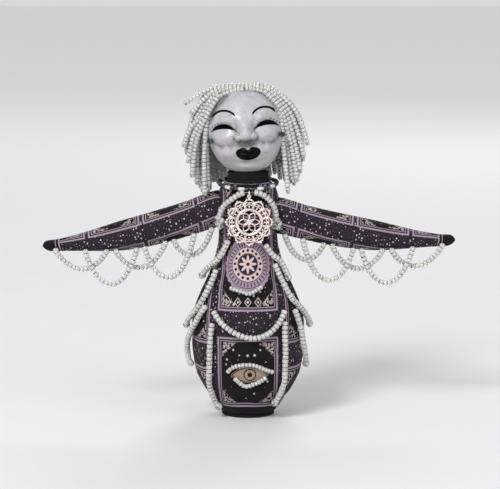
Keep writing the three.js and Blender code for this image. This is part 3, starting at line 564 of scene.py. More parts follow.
def face_clay(tints):
    """Grey clay, mottled at random and darkened by painted shade in its hollows and folds, with painted eyes,
    brows and lashes.
    """
    constants = {"Specular IOR Level": 0.35, "Coat Roughness": 0.15}
    paint = Paint("face_clay", constants)
    p, q = paint.flat("face")
    marks = painted_features(paint, abs(p), q - FEATURES_UP)
    # painted shade: this attribute is high in the hollows and folds, along the face's rim, under the nose and
    # the lip and at one temple
    painted_shade = paint.node("ShaderNodeAttribute", {"attribute_name": "painted_shade"}, None, "Fac")
    cloud = paint.noise(paint.spot(), 260, 7.0, 0.75)
    grain = paint.noise(paint.spot(), 1600, 3.0, 0.7)
    # random mottling from the noise, plus painted shade from the attribute
    mottle_and_shade_share = painted_shade * (0.45 + cloud) + (0.5 - cloud) * 1.5 + (0.5 - grain) * 1.2
    clay = paint.mix(mottle_and_shade_share, tints.clay, tints.mottle_and_shade_tint)
    relief = paint.bump(cloud * 0.4 + grain * 0.25, 0.25 * MM)
    return paint.finish(
        Base_Color=paint.mix(marks, clay, tints.ink),
        Metallic=marks,
        Roughness=0.36 + marks * 0.2 + grain * 0.15,
        Coat_Weight=0.4 - marks * 0.4,
        Normal=relief,
    )


def lacquer(tints):
    paint = Paint("lip_lacquer", {"Specular IOR Level": 0.06})
    brush = paint.noise(paint.spot(), 600, 3.0)
    brown = tuple(part + 0.003 for part in tints.ink)
    return paint.finish(
        Base_Color=paint.mix(brush, tints.ink, brown),
        Roughness=0.14 + brush * 0.12,
        Normal=paint.bump(brush, 0.05 * MM),
    )


def rose_silver(tints, depth, wire):
    """Bright on the front of the wire, dark behind it, where the patina stays."""
    paint = Paint("rose_silver", {"Metallic": 1.0})
    cloud = paint.noise(paint.spot(), 420, 4.0, 0.6)
    _, y, _ = paint.parts(paint.spot())
    front = (depth - y) / wire
    stain = paint.inside(front - 0.35 + (cloud - 0.5) * 0.9, 0.4)
    tone = paint.mix(stain * 0.75, tints.silver, tints.patina)
    return paint.finish(Base_Color=tone, Roughness=0.2 + cloud * 0.2)


def dowel_wood(tints):
    paint = Paint("dowel_wood", {"Roughness": 0.6})
    x, y, z = paint.parts(paint.spot())
    grain = paint.noise(paint.vector(x * 8, y * 8, z), 220, 4.0)
    dark = tuple(part * 0.5 for part in tints.wood)
    return paint.finish(Base_Color=paint.mix(grain, dark, tints.wood), Normal=paint.bump(grain, 0.1 * MM))


FLOOR_GLOW = 0.36  # what the far floor and the world add for the camera alone
LIT_FLOOR = (0.9, 2.6)  # how far in front of the doll the lit floor has its middle, and its radius


def floor_paper(tints):
    """Pale paper, which stays pale to the camera where the lamps fade."""
    constants = {"Roughness": 0.9, "Specular IOR Level": 0.1, "Emission Strength": FLOOR_GLOW}
    paint = Paint("floor_paper", constants)
    x, y, _ = paint.parts(paint.spot())
    along = y + LIT_FLOOR[0]
    far = paint.inside(LIT_FLOOR[1] - (x * x + along * along) ** 0.5, 1.0)
    fibre = paint.noise(paint.spot(), 40, 4.0)
    lighter = tuple(part * 1.03 for part in tints.floor)
    return paint.finish(
        Base_Color=paint.mix(fibre, tints.floor, lighter),
        Emission_Color=paint.mix(far * paint.seen(), (0, 0, 0), tints.floor),
    )


# Shapes

def through(stations, place):
    """Smooth curve through (place, value) stations, by cubic Hermite pieces."""
    last = len(stations) - 1
    place = min(max(place, stations[0][0]), stations[last][0])
    i = 0
    while i < last - 1 and place > stations[i + 1][0]:
        i += 1

    def slope(k):
        before = stations[max(k - 1, 0)]
        after = stations[min(k + 1, last)]
        return (after[1] - before[1]) / (after[0] - before[0])

    span = stations[i + 1][0] - stations[i][0]
    t = (place - stations[i][0]) / span
    start = (2 * t**3 - 3 * t**2 + 1) * stations[i][1] + (t**3 - 2 * t**2 + t) * span * slope(i)
    end = (3 * t**2 - 2 * t**3) * stations[i + 1][1] + (t**3 - t**2) * span * slope(i + 1)
    return start + end


def torso_half(z):
    return through(TORSO_STATIONS, z)


def on_torso(angle, z, lift=0.0):
    """A point above the torso cloth. The angle is 0 at the front and 90 at the doll's left side."""
    half = torso_half(z)
    slope = torso_half(z + 0.5) - torso_half(z - 0.5)
    out = lift / math.hypot(1, slope)
    turn = math.radians(angle)
    x = (half + out) * math.sin(turn)
    y = -(half * TORSO_DEPTH + out) * math.cos(turn)
    return Vector((x, y, z - out * slope))


def arm_half(u):
    tip = max(0, (u - ARM_LENGTH + ARM_TIP_ROUND) / ARM_TIP_ROUND)
    return through(ARM_STATIONS, u) * math.sqrt(max(0, 1 - tip * tip))


def arm_sag(u):
    return -ARM_SAG * math.sin(math.pi * min(max(u, 0), ARM_LENGTH) / ARM_LENGTH)


def arm_place(arm):
    """Turns an arm's own place (along, front to back, up) into the doll's frame."""
    seam = Matrix.Translation((torso_half(ARM_SEAM[arm]), 0, ARM_SEAM[arm]))
    droop = Matrix.Rotation(math.radians(ARM_DROOP[arm]), 4, "Y")
    return Matrix.Diagonal((SIDES[arm], 1, 1, 1)) @ seam @ droop


def loop_stitch(arm, u, lift):
    """Where a loop is sewn to the front of an arm, just above its lower edge."""
    half = arm_half(u)
    turn = math.acos(1 - LOOP_LAP / half)
    front = -(half * ARM_DEPTH + lift) * math.sin(turn)
    return arm_place(arm) @ Vector((u, front, arm_sag(u) - (half + lift) * math.cos(turn)))


def smooth_route(points, steps=12):
    """Points along a smooth curve through the ones that are given."""
    spots = [Vector(point) for point in points]
    last = len(spots) - 1
    made = []
    for i in range(last):
        before, start, end, after = (spots[min(max(k, 0), last)] for k in (i - 1, i, i + 1, i + 2))
        for step in range(steps):
            t = step / steps
            out = (end - before) / 2
            back = (after - start) / 2
            made.append(
                (2 * t**3 - 3 * t**2 + 1) * start
                + (t**3 - 2 * t**2 + t) * out
                + (3 * t**2 - 2 * t**3) * end
                + (t**3 - t**2) * back
            )
    return made + [spots[last]]


def route_length(route):
    return sum((b - a).length for a, b in zip(route, route[1:]))


def spaced(route, pitch, start=0.0):
    """Places and directions at equal distances along a route."""
    made = []
    run = start
    passed = 0.0
    for a, b in zip(route, route[1:]):
        step = (b - a).length
        while step > 0 and run <= passed + step:
            made.append((a.lerp(b, (run - passed) / step), (b - a) / step))
            run += pitch
        passed += step
    return made


def hanging_route(start, end, length, steps=40):
    """A strand of one length that hangs between two points."""
    across = math.hypot(end.x - start.x, end.y - start.y)
    rise = end.z - start.z
    slack = math.sqrt(length**2 - rise**2) / across
    low, high = 1e-3, 20.0
    while high - low > 1e-9:
        middle = (low + high) / 2
        if math.sinh(middle) / middle < slack:
            low = middle
        else:
            high = middle
    size = across / (2 * low)
    bottom = across / 2 - size * math.atanh(rise / length)
    floor = start.z - size * math.cosh(bottom / size)
    route = []
    for step in range(steps + 1):
        run = step / steps * length + size * math.sinh(-bottom / size)
        along = bottom + size * math.asinh(run / size)
        spot = start.lerp(end, along / across)
        spot.z = floor + size * math.cosh((along - bottom) / size)
        route.append(spot)
    return route


# Making pieces

def finish_piece(name, bm, body, materials, nodes=(), levels=0):
    """Turns a bmesh in millimetres into a piece that rides on a body and stands for its nodes."""
    bmesh.ops.scale(bm, vec=(MM, MM, MM), verts=bm.verts)
    mesh = bpy.data.meshes.new(name)
    bm.to_mesh(mesh)
    bm.free()
    mesh.shade_smooth()
    for material in materials:
        mesh.materials.append(material)
    piece = bpy.data.objects.new(name, mesh)
    bpy.context.scene.collection.objects.link(piece)
    if levels:
        smooth = piece.modifiers.new("smooth", "SUBSURF")
        smooth.levels = levels
        smooth.render_levels = levels
    if body:
        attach(piece, body)
    if nodes:
        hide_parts(*nodes)
    return piece


def lay_cloth(bm, place, run, name="cloth"):
    """Gives cloth its flat coordinates: the run round it from the front, and the place along it."""
    layer = bm.loops.layers.uv.new(name)
    for face in bm.faces:
        middle = place(face.calc_center_median())[0]
        for loop in face.loops:
            angle, along = place(loop.vert.co)
            if angle - middle > math.pi:
                angle -= 2 * math.pi
            elif middle - angle > math.pi:
                angle += 2 * math.pi
            loop[layer].uv = (run(angle, along) / 100, along / 100)


def ellipse_run(angle, half, depth):
    """Length of an ellipse's edge from its front to an angle."""
    steps = 6
    run = 0.0
    for step in range(steps):
        turn = angle * (step + 0.5) / steps
        run += math.hypot(half * math.cos(turn), half * depth * math.sin(turn))
    return run * angle / steps


def turned_tube(profile, columns):
    """A closed tube turned about +Z from (radius, height) pairs."""
    bm = bmesh.new()
    column = [bm.verts.new((radius, 0, height)) for radius, height in profile]
    edges = [bm.edges.new(pair) for pair in zip(column, column[1:])]
    turn = {"cent": (0, 0, 0), "axis": (0, 0, 1), "angle": 2 * math.pi, "steps": columns}
    bmesh.ops.spin(bm, geom=column + edges, use_merge=True, **turn)
    caps = bmesh.ops.holes_fill(bm, edges=[edge for edge in bm.edges if edge.is_boundary])["faces"]
    bmesh.ops.triangulate(bm, faces=caps)
    bmesh.ops.recalc_face_normals(bm, faces=bm.faces)
    return bm


def stuff(piece, seams, limit):
    """Swells a piece with the cloth solver, holds its seams, and keeps the shape that it takes."""
    rest = [vertex.co.copy() for vertex in piece.data.vertices]
    held = piece.vertex_groups.new(name="seams")
    held.add(seams, 1.0, "REPLACE")
    solver = piece.modifiers.new("stuffing", "CLOTH")
    solver.settings.quality = 4
    solver.settings.use_pressure = True
    solver.settings.uniform_pressure_force = 4
    solver.settings.shrink_min = -0.02
    solver.settings.vertex_group_mass = held.name
    solver.settings.effector_weights.gravity = 0
    scene = bpy.context.scene
    for step in range(1, 21):
        scene.frame_set(step)
    swollen = piece.evaluated_get(bpy.context.evaluated_depsgraph_get()).data
    moved = [vertex.co.copy() for vertex in swollen.vertices]
    piece.modifiers.remove(solver)
    piece.vertex_groups.remove(held)
    scene.frame_set(1)
    for vertex, start, end in zip(piece.data.vertices, rest, moved):
        shift = end - start
        if shift.length > limit:
            shift *= limit / shift.length
        vertex.co = start + shift


BEAD_PROFILE = [(0.4, -0.66), (0.72, -0.70), (1, -0.4), (1, 0.4), (0.72, 0.70), (0.4, 0.66)]
BEAD_COLUMNS = 10
BEAD_TONES = 6


def bead_moulds(diameter, length):
    """A few like beads round +Z, each with its own tone in its UV map, and the wall of its hole lined."""
    moulds = []
    for tone in range(BEAD_TONES):
        bm = bmesh.new()
        ring = [bm.verts.new((r * diameter / 2, 0, h * length / 1.4)) for r, h in BEAD_PROFILE]
        edges = [bm.edges.new((ring[i - 1], ring[i])) for i in range(len(ring))]
        turn = {"cent": (0, 0, 0), "axis": (0, 0, 1), "angle": 2 * math.pi, "steps": BEAD_COLUMNS}
        bmesh.ops.spin(bm, geom=ring + edges, use_merge=True, **turn)
        bmesh.ops.recalc_face_normals(bm, faces=bm.faces)
        layer = bm.loops.layers.uv.new("bead")
        wall = BEAD_PROFILE[0][0] * diameter / 2 * 1.01
        for face in bm.faces:
            face.material_index = int(all(vertex.co.xy.length < wall for vertex in face.verts))
            for loop in face.loops:
                loop[layer].uv = (tone / (BEAD_TONES - 1), 0.5 + loop.vert.co.z / length)
        mould = bpy.data.meshes.new("bead_mould")
        bm.to_mesh(mould)
        bm.free()
        moulds.append(mould)
    return moulds


def add_copy(bm, mould, place, material=0):
    """Adds a copy of a mesh at a place."""
    first_vert, first_face = len(bm.verts), len(bm.faces)
    bm.from_mesh(mould)
    bm.verts.ensure_lookup_table()
    bmesh.ops.transform(bm, matrix=place, verts=bm.verts[first_vert:])
    if material:
        bm.faces.ensure_lookup_table()
        for face in bm.faces[first_face:]:
            face.material_index = material


def along_route(spot, direction, size=1.0, turn=0.0):
    aim = direction.to_track_quat("Z", "Y").to_matrix().to_4x4()
    return Matrix.Translation(spot) @ aim @ Matrix.Rotation(turn, 4, "Z") @ Matrix.Scale(size, 4)


def string_beads(bm, route, moulds, pitch, luck):
    """Fills a route with beads, each a little larger or smaller than the next."""
    length = route_length(route)
    pitch = length / round(length / pitch)
    for spot, direction in spaced(route, pitch, pitch / 2):
        size = luck.uniform(0.95, 1.05)
        lean = Vector([luck.uniform(-0.09, 0.09) for _ in range(3)])
        place = along_route(spot, (direction + lean).normalized(), size, luck.uniform(0, 6))
        add_copy(bm, luck.choice(moulds), place)


def add_stop(bm, route, mould, size):
    """Turns a last bead across the end of a strand."""
    end = (route[-1] - route[-2]).normalized()
    add_copy(bm, mould, along_route(route[-1] + end * 0.3, end.orthogonal(), size))


def clear_moulds(moulds):
    for mould in moulds:
        bpy.data.meshes.remove(mould)


def add_wire(bm, points, radius, closed=False):
    """Adds a round wire along points."""
    curve = bpy.data.curves.new("wire", "CURVE")
    curve.dimensions = "3D"
    curve.bevel_depth = radius
    curve.bevel_resolution = 2
    curve.use_fill_caps = not closed
    spline = curve.splines.new("POLY")
    spline.points.add(len(points) - 1)
    for knot, point in zip(spline.points, points):
        knot.co = (*point, 1)
    spline.use_cyclic_u = closed
    holder = bpy.data.objects.new("wire", curve)
    mesh = bpy.data.meshes.new_from_object(holder)
    bm.from_mesh(mesh)
    bpy.data.objects.remove(holder)
    bpy.data.curves.remove(curve)
    bpy.data.meshes.remove(mesh)


def wire_ring(bm, radius, wire, middle=(0, 0, 0), steps=32, axis="Y"):
    """Adds a ring of wire that stands upright and faces along an axis."""
    turns = [2 * math.pi * step / steps for step in range(steps)]
    ring = [Vector((radius * math.sin(turn), 0, radius * math.cos(turn))) for turn in turns]
    if axis == "X":
        ring = [Vector((0, point.x, point.z)) for point in ring]
    add_wire(bm, [point + Vector(middle) for point in ring], wire, closed=True)


class DollMaker:
    """What the doll's operators share."""

    bl_options = {"REGISTER", "UNDO"}

    def execute(self, context):
        self.make(context.scene.doll_sizes, context.scene.doll_colours)
        return {"FINISHED"}


# Cloth

class DOLL_OT_torso(DollMaker, Operator):
    """Makes the stuffed torso, its sole, its neck and the bag and post inside it"""

    bl_idname = "doll.torso"
    bl_label = "Torso"
    rows = 72
    columns = 88
    tucked = 0.9  # how much smaller than its solid the cloth starts

    def make(self, sizes, tints):
        rise = (NECK_SEAM - TORSO_FOOT) / self.rows
        heights = [TORSO_FOOT + rise * row for row in range(self.rows + 1)]
        bm = turned_tube([(torso_half(z) - self.tucked, z) for z in heights], self.columns)
        bmesh.ops.scale(bm, vec=(1, TORSO_DEPTH, 1), verts=bm.verts)
        lay_cloth(bm, self.place, lambda angle, z: ellipse_run(angle, torso_half(z), TORSO_DEPTH))
        material = torso_cotton(sizes, tints)
        nodes = ("torso_cloth", "torso_stuffing")
        torso = finish_piece("stuffed_torso", bm, "torso", [material], nodes, levels=1)
        seams = [vertex.index for vertex in torso.data.vertices if self.is_seam(vertex.co / MM)]
        stuff(torso, seams, sizes.swell)
        self.make_neck(sizes, tints)
        self.make_inside(sizes, tints)

    @staticmethod
    def place(co):
        return math.atan2(co.x, -co.y / TORSO_DEPTH), co.z

    @staticmethod
    def is_seam(co):
        ends = co.z < TORSO_FOOT + 3 or co.z > NECK_SEAM - 3
        return ends or abs(math.degrees(math.atan2(co.y, abs(co.x)))) < 2.5

    def make_neck(self, sizes, tints):
        black = plain_cotton("black_cotton", sizes, tints.cloth)
        low, high = (corner / MM for corner in map(Vector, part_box("neck_sleeve")))
        radius = (high.x - low.x) / 2
        rows = 12
        profile = []
        for row in range(rows + 1):
            share = row / rows
            fold = 0.22 * math.sin(share * 5 * math.pi)
            profile.append((radius - 0.5 * share - 0.3 + fold, low.z - 0.6 + (high.z - low.z + 0.6) * share))
        bm = turned_tube(profile, 48)
        lay_cloth(bm, lambda co: (math.atan2(co.x, -co.y), co.z), lambda angle, z: angle * radius)
        finish_piece("neck_tube", bm, "torso", [black], ("neck_sleeve",))

        low, high = (corner / MM for corner in map(Vector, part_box("base_panel")))
        half = (high.x - low.x) / 2
        sole = [(half - 0.5, 0), (half, 0.4), (half, 0.9), (half - 0.5, high.z + 0.2)]
        bm = turned_tube(sole, 64)
        bmesh.ops.scale(bm, vec=(1, TORSO_DEPTH, 1), verts=bm.verts)
        lay_cloth(bm, lambda co: (co.x / half, co.y), lambda across, y: across * half)
        finish_piece("base_sole", bm, "torso", [black], ("base_panel",))

    def make_inside(self, sizes, tints):
        low, high = (corner / MM for corner in map(Vector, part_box("weight_bag")))
        half = (high - low) / 2
        middle = (high + low) / 2
        bm = bmesh.new()
        bmesh.ops.create_icosphere(bm, subdivisions=4, radius=1)
        for vertex in bm.verts:
            turn = math.atan2(vertex.co.y, vertex.co.x)
            vertex.co *= 0.96 + 0.03 * math.sin(9 * turn) * (1 - abs(vertex.co.z))
        bmesh.ops.scale(bm, vec=half, verts=bm.verts)
        bmesh.ops.translate(bm, vec=middle, verts=bm.verts)
        lay_cloth(bm, lambda co: (co.x / half.x, co.y), lambda across, y: across * half.x)
        muslin = plain_cotton("bag_muslin", sizes, tints.muslin)
        bag = finish_piece("pellet_bag", bm, "torso", [muslin], ("weight_bag",))
        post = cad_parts["neck_post"]
        post.data.materials.clear()
        post.data.materials.append(dowel_wood(tints))


class DOLL_OT_arms(DollMaker, Operator):
    """Makes the two stuffed wing arms, sewn to the torso"""

    bl_idname = "doll.arms"
    bl_label = "Arms"
    rows = 64
    columns = 40
    root = -4.5
    tucked = 0.7
    bend = 11  # a distance out from the seam, added to the seam at the end of make and then not used

    def make(self, sizes, tints):
        cotton = arm_cotton(sizes, tints)
        for arm, side in SIDES.items():
            profile = []
            for row in range(self.rows + 1):
                u = self.root + (ARM_LENGTH - self.root) * math.sin(math.pi / 2 * row / self.rows)
                profile.append((max(arm_half(u) - self.tucked, 0.05), u))
            bm = turned_tube(profile, self.columns)
            bmesh.ops.rotate(bm, matrix=Matrix.Rotation(math.pi / 2, 3, "Y"), verts=bm.verts)
            bmesh.ops.scale(bm, vec=(1, ARM_DEPTH, 1), verts=bm.verts)
            lay_cloth(bm, self.place, lambda angle, u: self.run(angle, u))
            self.swap_axes(bm)
            for vertex in bm.verts:
                vertex.co.z += arm_sag(vertex.co.x)
            bmesh.ops.transform(bm, matrix=arm_place(arm), verts=bm.verts)
            bmesh.ops.recalc_face_normals(bm, faces=bm.faces)
            nodes = (f"{arm}_arm_cloth", f"{arm}_arm_stuffing")
            wing = finish_piece(f"{arm}_wing", bm, None, [cotton], nodes, levels=1)
            back = arm_place(arm).inverted()
            seams = [v.index for v in wing.data.vertices if self.is_seam(back @ (v.co / MM))]
            stuff(wing, seams, sizes.swell)
            seam = side * torso_half(ARM_SEAM[arm]) * MM
            level = ARM_SEAM[arm] * MM
            start = (seam + side * MM, 0, level)
            seam + side * self.bend * MM
            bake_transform(wing)

    @staticmethod
    def place(co):
        return math.atan2(co.z, -co.y / ARM_DEPTH), co.x

    @staticmethod
    def run(angle, u):
        return ellipse_run(angle, arm_half(u) * ARM_DEPTH, 1 / ARM_DEPTH)

    @staticmethod
    def swap_axes(bm):
        """The print's first coordinate runs along the arm."""
        layer = bm.loops.layers.uv["cloth"]
        for face in bm.faces:
            for loop in face.loops:
                loop[layer].uv = loop[layer].uv.yx

    @staticmethod
    def is_seam(co):
        below = co.z < arm_sag(co.x) - arm_half(co.x) * 0.8
        return co.x < 2 or co.x > ARM_LENGTH - 2 or below


# Beadwork

class DOLL_OT_strands(DollMaker, Operator):
    """Strings the free strands and the swag on the torso"""

    bl_idname = "doll.strands"
    bl_label = "Torso Strands"

    def make(self, sizes, tints):
        glass = silver_lined(tints)
        bead, pitch = sizes.bead / MM, sizes.bead_pitch / MM
        moulds = bead_moulds(bead, pitch)
        for seed, (node, pairs) in enumerate(TORSO_STRANDS.items()):
            luck = random.Random(seed)
            places = smooth_route([(angle, z, 0) for angle, z in pairs])
            route = [on_torso(angle, z, bead / 2 + 0.3) for angle, z, _ in places]
            bm = bmesh.new()
            string_beads(bm, route, moulds, pitch, luck)
            if node != "belly_swag":
                add_stop(bm, route, moulds[seed % BEAD_TONES], 1.25)
            name = node.replace("strand", "beads").replace("swag", "swag_beads")
            strand = finish_piece(name, bm, "torso", glass, (node,))
            length = route_length(route)
            if length >= DECLARED_FROM:
                declare_strand(route, length)
        clear_moulds(moulds)


def declare_strand(route, length):
    path = [point * MM for point in route]


class DOLL_OT_loops(DollMaker, Operator):
    """Hangs the bead loops from the lower edge of each arm"""

    bl_idname = "doll.loops"
    bl_label = "Arm Loops"

    def make(self, sizes, tints):
        glass = silver_lined(tints)
        bead, pitch = sizes.bead / MM, sizes.bead_pitch / MM
        moulds = bead_moulds(bead, pitch)
        luck = random.Random(40)
        apart = bead / 2 + 0.3
        for arm in SIDES:
            for k, hung in enumerate(LOOP_LENGTHS):
                start = loop_stitch(arm, LOOP_STITCHES[k] + apart, bead / 2)
                end = loop_stitch(arm, LOOP_STITCHES[k + 2] - apart, bead / 2)
                route = hanging_route(start, end, hung)
                if k % 2 == 0:
                    for step, spot in enumerate(route):
                        spot.y += LOOP_BEHIND * math.sin(math.pi * step / (len(route) - 1))
                bm = bmesh.new()
                string_beads(bm, route, moulds, pitch, luck)
                name, node = f"{arm}_loop_beads_{k + 1}", f"{arm}_loop_{k + 1}"
                loop = finish_piece(name, bm, None, glass, (node,))
                top = start.copy()
                top.z = min(start.z, end.z) - bead / 2
                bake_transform(loop)
                declare_strand(route, route_length(route))
        clear_moulds(moulds)


class DOLL_OT_trim(DollMaker, Operator):
    """Strings the harness, the collar and the sewn bead edges"""

    bl_idname = "doll.trim"
    bl_label = "Harness, Collar and Edges"
    collar = "iwiiwiiiibiiwiiibi"  # iris beads, bronze ones and white bugles, from the middle outwards
    collar_middle = 1.5  # how far the middle bead lies to the doll's left

    def make(self, sizes, tints):
        glass = silver_lined(tints)
        self.make_edges(sizes, glass)
        self.make_harness(sizes, glass)
        self.make_collar(sizes, tints)

    def make_edges(self, sizes, glass):
        bead, pitch = sizes.small_bead / MM, sizes.small_pitch / MM
        moulds = bead_moulds(bead, pitch)
        for seed, (node, pairs) in enumerate(SEWN_EDGES.items()):
            places = smooth_route([(angle, z, 0) for angle, z in pairs])
            route = [on_torso(angle, z, bead / 2 - 0.2) for angle, z, _ in places]
            bm = bmesh.new()
            string_beads(bm, route, moulds, pitch, random.Random(60 + seed))
            finish_piece(f"{node}_beads", bm, "torso", glass, (node,))
        clear_moulds(moulds)

    def make_harness(self, sizes, glass):
        bead, pitch = sizes.bead / MM, sizes.bead_pitch / MM
        moulds = bead_moulds(bead, pitch)
        luck = random.Random(70)
        bm = bmesh.new()
        for pairs in HARNESS.values():
            places = smooth_route([(angle, z, 0) for angle, z in pairs])
            route = [on_torso(angle, z, bead / 2 + 0.3) for angle, z, _ in places]
            string_beads(bm, route, moulds, pitch, luck)
            self.add_knot(bm, pairs[-1], moulds, bead, luck)
        low, high = (corner / MM for corner in map(Vector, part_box("jump_ring")))
        ends = [on_torso(pairs[0][0], pairs[0][1], bead / 2 + 0.3) for pairs in HARNESS.values()]
        sag = Vector(((low.x + high.x) / 2, (low.y + high.y) / 2, (low.z + high.z) / 2 + 0.5))
        add_wire(bm, smooth_route([ends[0], sag, ends[1]], 6), 0.28)
        finish_piece("harness_beads", bm, "torso", glass, ("harness_strand",))
        clear_moulds(moulds)

    @staticmethod
    def add_knot(bm, end, moulds, bead, luck):
        """Bunches beads where a strand is sewn down at the shoulder."""
        for _ in range(8):
            angle = end[0] + luck.uniform(-6, 6)
            spot = on_torso(angle, end[1] + luck.uniform(-4, 1), bead * luck.uniform(0.4, 0.9))
            aim = Vector([luck.uniform(-1, 1) for _ in range(3)]).normalized()
            add_copy(bm, luck.choice(moulds), along_route(spot, aim))

    def make_collar(self, sizes, tints):
        bead = sizes.small_bead / MM
        round_moulds = bead_moulds(bead, 1.9)
        long_moulds = bead_moulds(bead * 0.86, 3.6)
        route = []
        for step in range(181):
            angle = -180 + COLLAR_TIE + (360 - 2 * COLLAR_TIE) * step / 180
            back = (1 - math.cos(math.radians(angle))) / 2
            z = COLLAR_FRONT + (COLLAR_BACK - COLLAR_FRONT) * back
            spot = on_torso(angle, min(z, NECK_SEAM - 1), bead / 2 + 0.1)
            spot.z = max(spot.z, z)
            route.append(spot)
        luck = random.Random(80)
        bm = bmesh.new()
        middle = route_length(route) / 2 + self.collar_middle
        self.add_collar_bead(bm, route, middle, round_moulds[-1], 0)
        for side in (-1, 1):
            run = 1.0
            reach = route_length(route) / 2 - side * self.collar_middle - 2
            order = 0
            while run < reach:
                kind = self.collar[order % len(self.collar)]
                length = 3.7 if kind == "w" else 1.95
                moulds = long_moulds if kind == "w" else round_moulds[:-1]
                mould = round_moulds[-1] if kind == "b" else luck.choice(moulds)
                self.add_collar_bead(bm, route, middle + side * (run + length / 2), mould, kind == "w")
                run += length
                order += 1
        materials = [iris_glass(tints), white_glass(tints)]
        finish_piece("collar_beads", bm, "torso", materials, ("collar_strand",))
        clear_moulds(round_moulds + long_moulds)

    @staticmethod
    def add_collar_bead(bm, route, run, mould, material):
        spot, direction = spaced(route, route_length(route), run)[0]
        add_copy(bm, mould, along_route(spot, direction), int(material))


# Charm

class DOLL_OT_charm(DollMaker, Operator):
    """Makes the filigree charm and the ring that it hangs on"""

    bl_idname = "doll.charm"
    bl_label = "Charm"
    radius = 12.4
    lobes = 12
    grains = [
        (0, 11.8, 0.6), (-1.15, 11.2, 0.52), (1.15, 11.2, 0.52), (0, 7.75, 0.5), (0, 9.7, 0.4),
        (2.6, 9.3, 0.5),
    ]

    def make(self, sizes, tints):
        low, high = (corner / MM for corner in map(Vector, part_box("pendant")))
        middle = Vector(((low.x + high.x) / 2, (low.y + high.y) / 2, low.z + self.radius))
        wire = sizes.wire / MM / 2
        silver = rose_silver(tints, middle.y * MM, wire * MM)
        bm = bmesh.new()
        self.make_rosette(bm, wire)
        for lobe in range(self.lobes):
            self.make_lobe(bm, wire, Matrix.Rotation(2 * math.pi * lobe / self.lobes, 4, "Y"))
        wire_ring(bm, 0.75, wire, (0, 0, self.radius + 0.55), 20)
        bmesh.ops.translate(bm, vec=middle, verts=bm.verts)
        finish_piece("filigree_charm", bm, "charm", [silver], ("pendant",))

        low, high = (corner / MM for corner in map(Vector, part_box("jump_ring")))
        bm = bmesh.new()
        wire_ring(bm, 1.35, wire, (low + high) / 2, 28, "X")
        finish_piece("bail_ring", bm, "charm", [silver], ("jump_ring",))

    def make_rosette(self, bm, wire):
        """A six-petalled rosette of crossing rings inside a broad ring."""
        inner = 5.9
        petal = inner / 2
        wire_ring(bm, inner + 0.5, wire * 1.9, steps=64)
        for turn in range(6):
            angle = math.pi * turn / 3
            middle = (petal * math.sin(angle), -0.03 * turn, petal * math.cos(angle))
            wire_ring(bm, petal, wire * 0.72, middle, 36)
        wire_ring(bm, 1.15, wire * 0.7, (0, -0.2, 0), 20)

    def make_lobe(self, bm, wire, turn):
        """A scalloped lobe: an arch, two scrolls and a trefoil of grains."""
        arch = [(-1.5, 7), (-2.25, 8.6), (-2.3, 9.9), (-1.3, 10.9), (0, 11.2)]
        arch += [(-x, z) for x, z in arch[-2::-1]]
        self.add_line(bm, smooth_route([(x, 0, z) for x, z in arch], 4), wire, turn)
        for side in (-1, 1):
            scroll = []
            for step in range(16):
                angle = math.radians(215 - 27 * step)
                r = 1.15 - 0.055 * step
                scroll.append(Vector((side * (1.1 + r * math.cos(angle)), -0.1, 9.0 + r * math.sin(angle))))
            self.add_line(bm, scroll, wire * 0.8, turn)
        for x, z, size in self.grains:
            place = turn @ Matrix.Translation((x, -0.1, z))
            bmesh.ops.create_icosphere(bm, subdivisions=2, radius=size, matrix=place)

    @staticmethod
    def add_line(bm, points, wire, turn):
        add_wire(bm, [turn @ point for point in points], wire)


# Head

def swell(p, q, at, up, wide, high):
    return math.exp(-(((p - at) / wide) ** 2) - ((q - up) / high) ** 2)


def bulb(p, q, at, up, size, height):
    """A round lump with a clear edge, such as a ball of clay pressed on."""
    share = 1 - ((p - at) ** 2 + (q - up) ** 2) / size**2
    return height * share**0.6 if share > 0 else 0.0


def near_line(p, q, points, wide):
    """How near a place is to a line of points, from 1 on it to 0 away from it."""
    best = 1e9
    for (px, pq), (nx, nq) in zip(points, points[1:]):
        dx, dq = nx - px, nq - pq
        t = min(max(((p - px) * dx + (q - pq) * dq) / (dx * dx + dq * dq), 0), 1)
        best = min(best, (p - px - t * dx) ** 2 + (q - pq - t * dq) ** 2)
    return math.exp(-best / wide**2)


# Lines on the face, from its middle and from the line that the features stand above
SMILE_FOLD = [(5.8, -4.2), (7.8, -6.6), (9, -9)]
CHEEK_FOLD = [(9, -6.4), (12.4, -6.8), (15.4, -5.4), (17.4, -3)]
LID_FOLD = [(4.9, 0.8), (7.2, 3.4), (10.9, 4.5), (14.4, 3.4), (16.8, 0.8)]
SOCKET_FOLD = [(4.2, 1.6), (4.6, 5.0), (6.6, 8.6)]
# TEMPLE_BAND and NOSE_SIDE only place painted shade: the hair's painted shadow at one temple, and shade
# beside the nose
TEMPLE_BAND = [(-17.2, 6), (-15.2, 10.5), (-11.1, 14.5), (-7.7, 17.4)]
NOSE = -1.9
NOSE_SIDE = [(4.4, 0.4), (5.7, -1.6), (5.9, -3.4)]


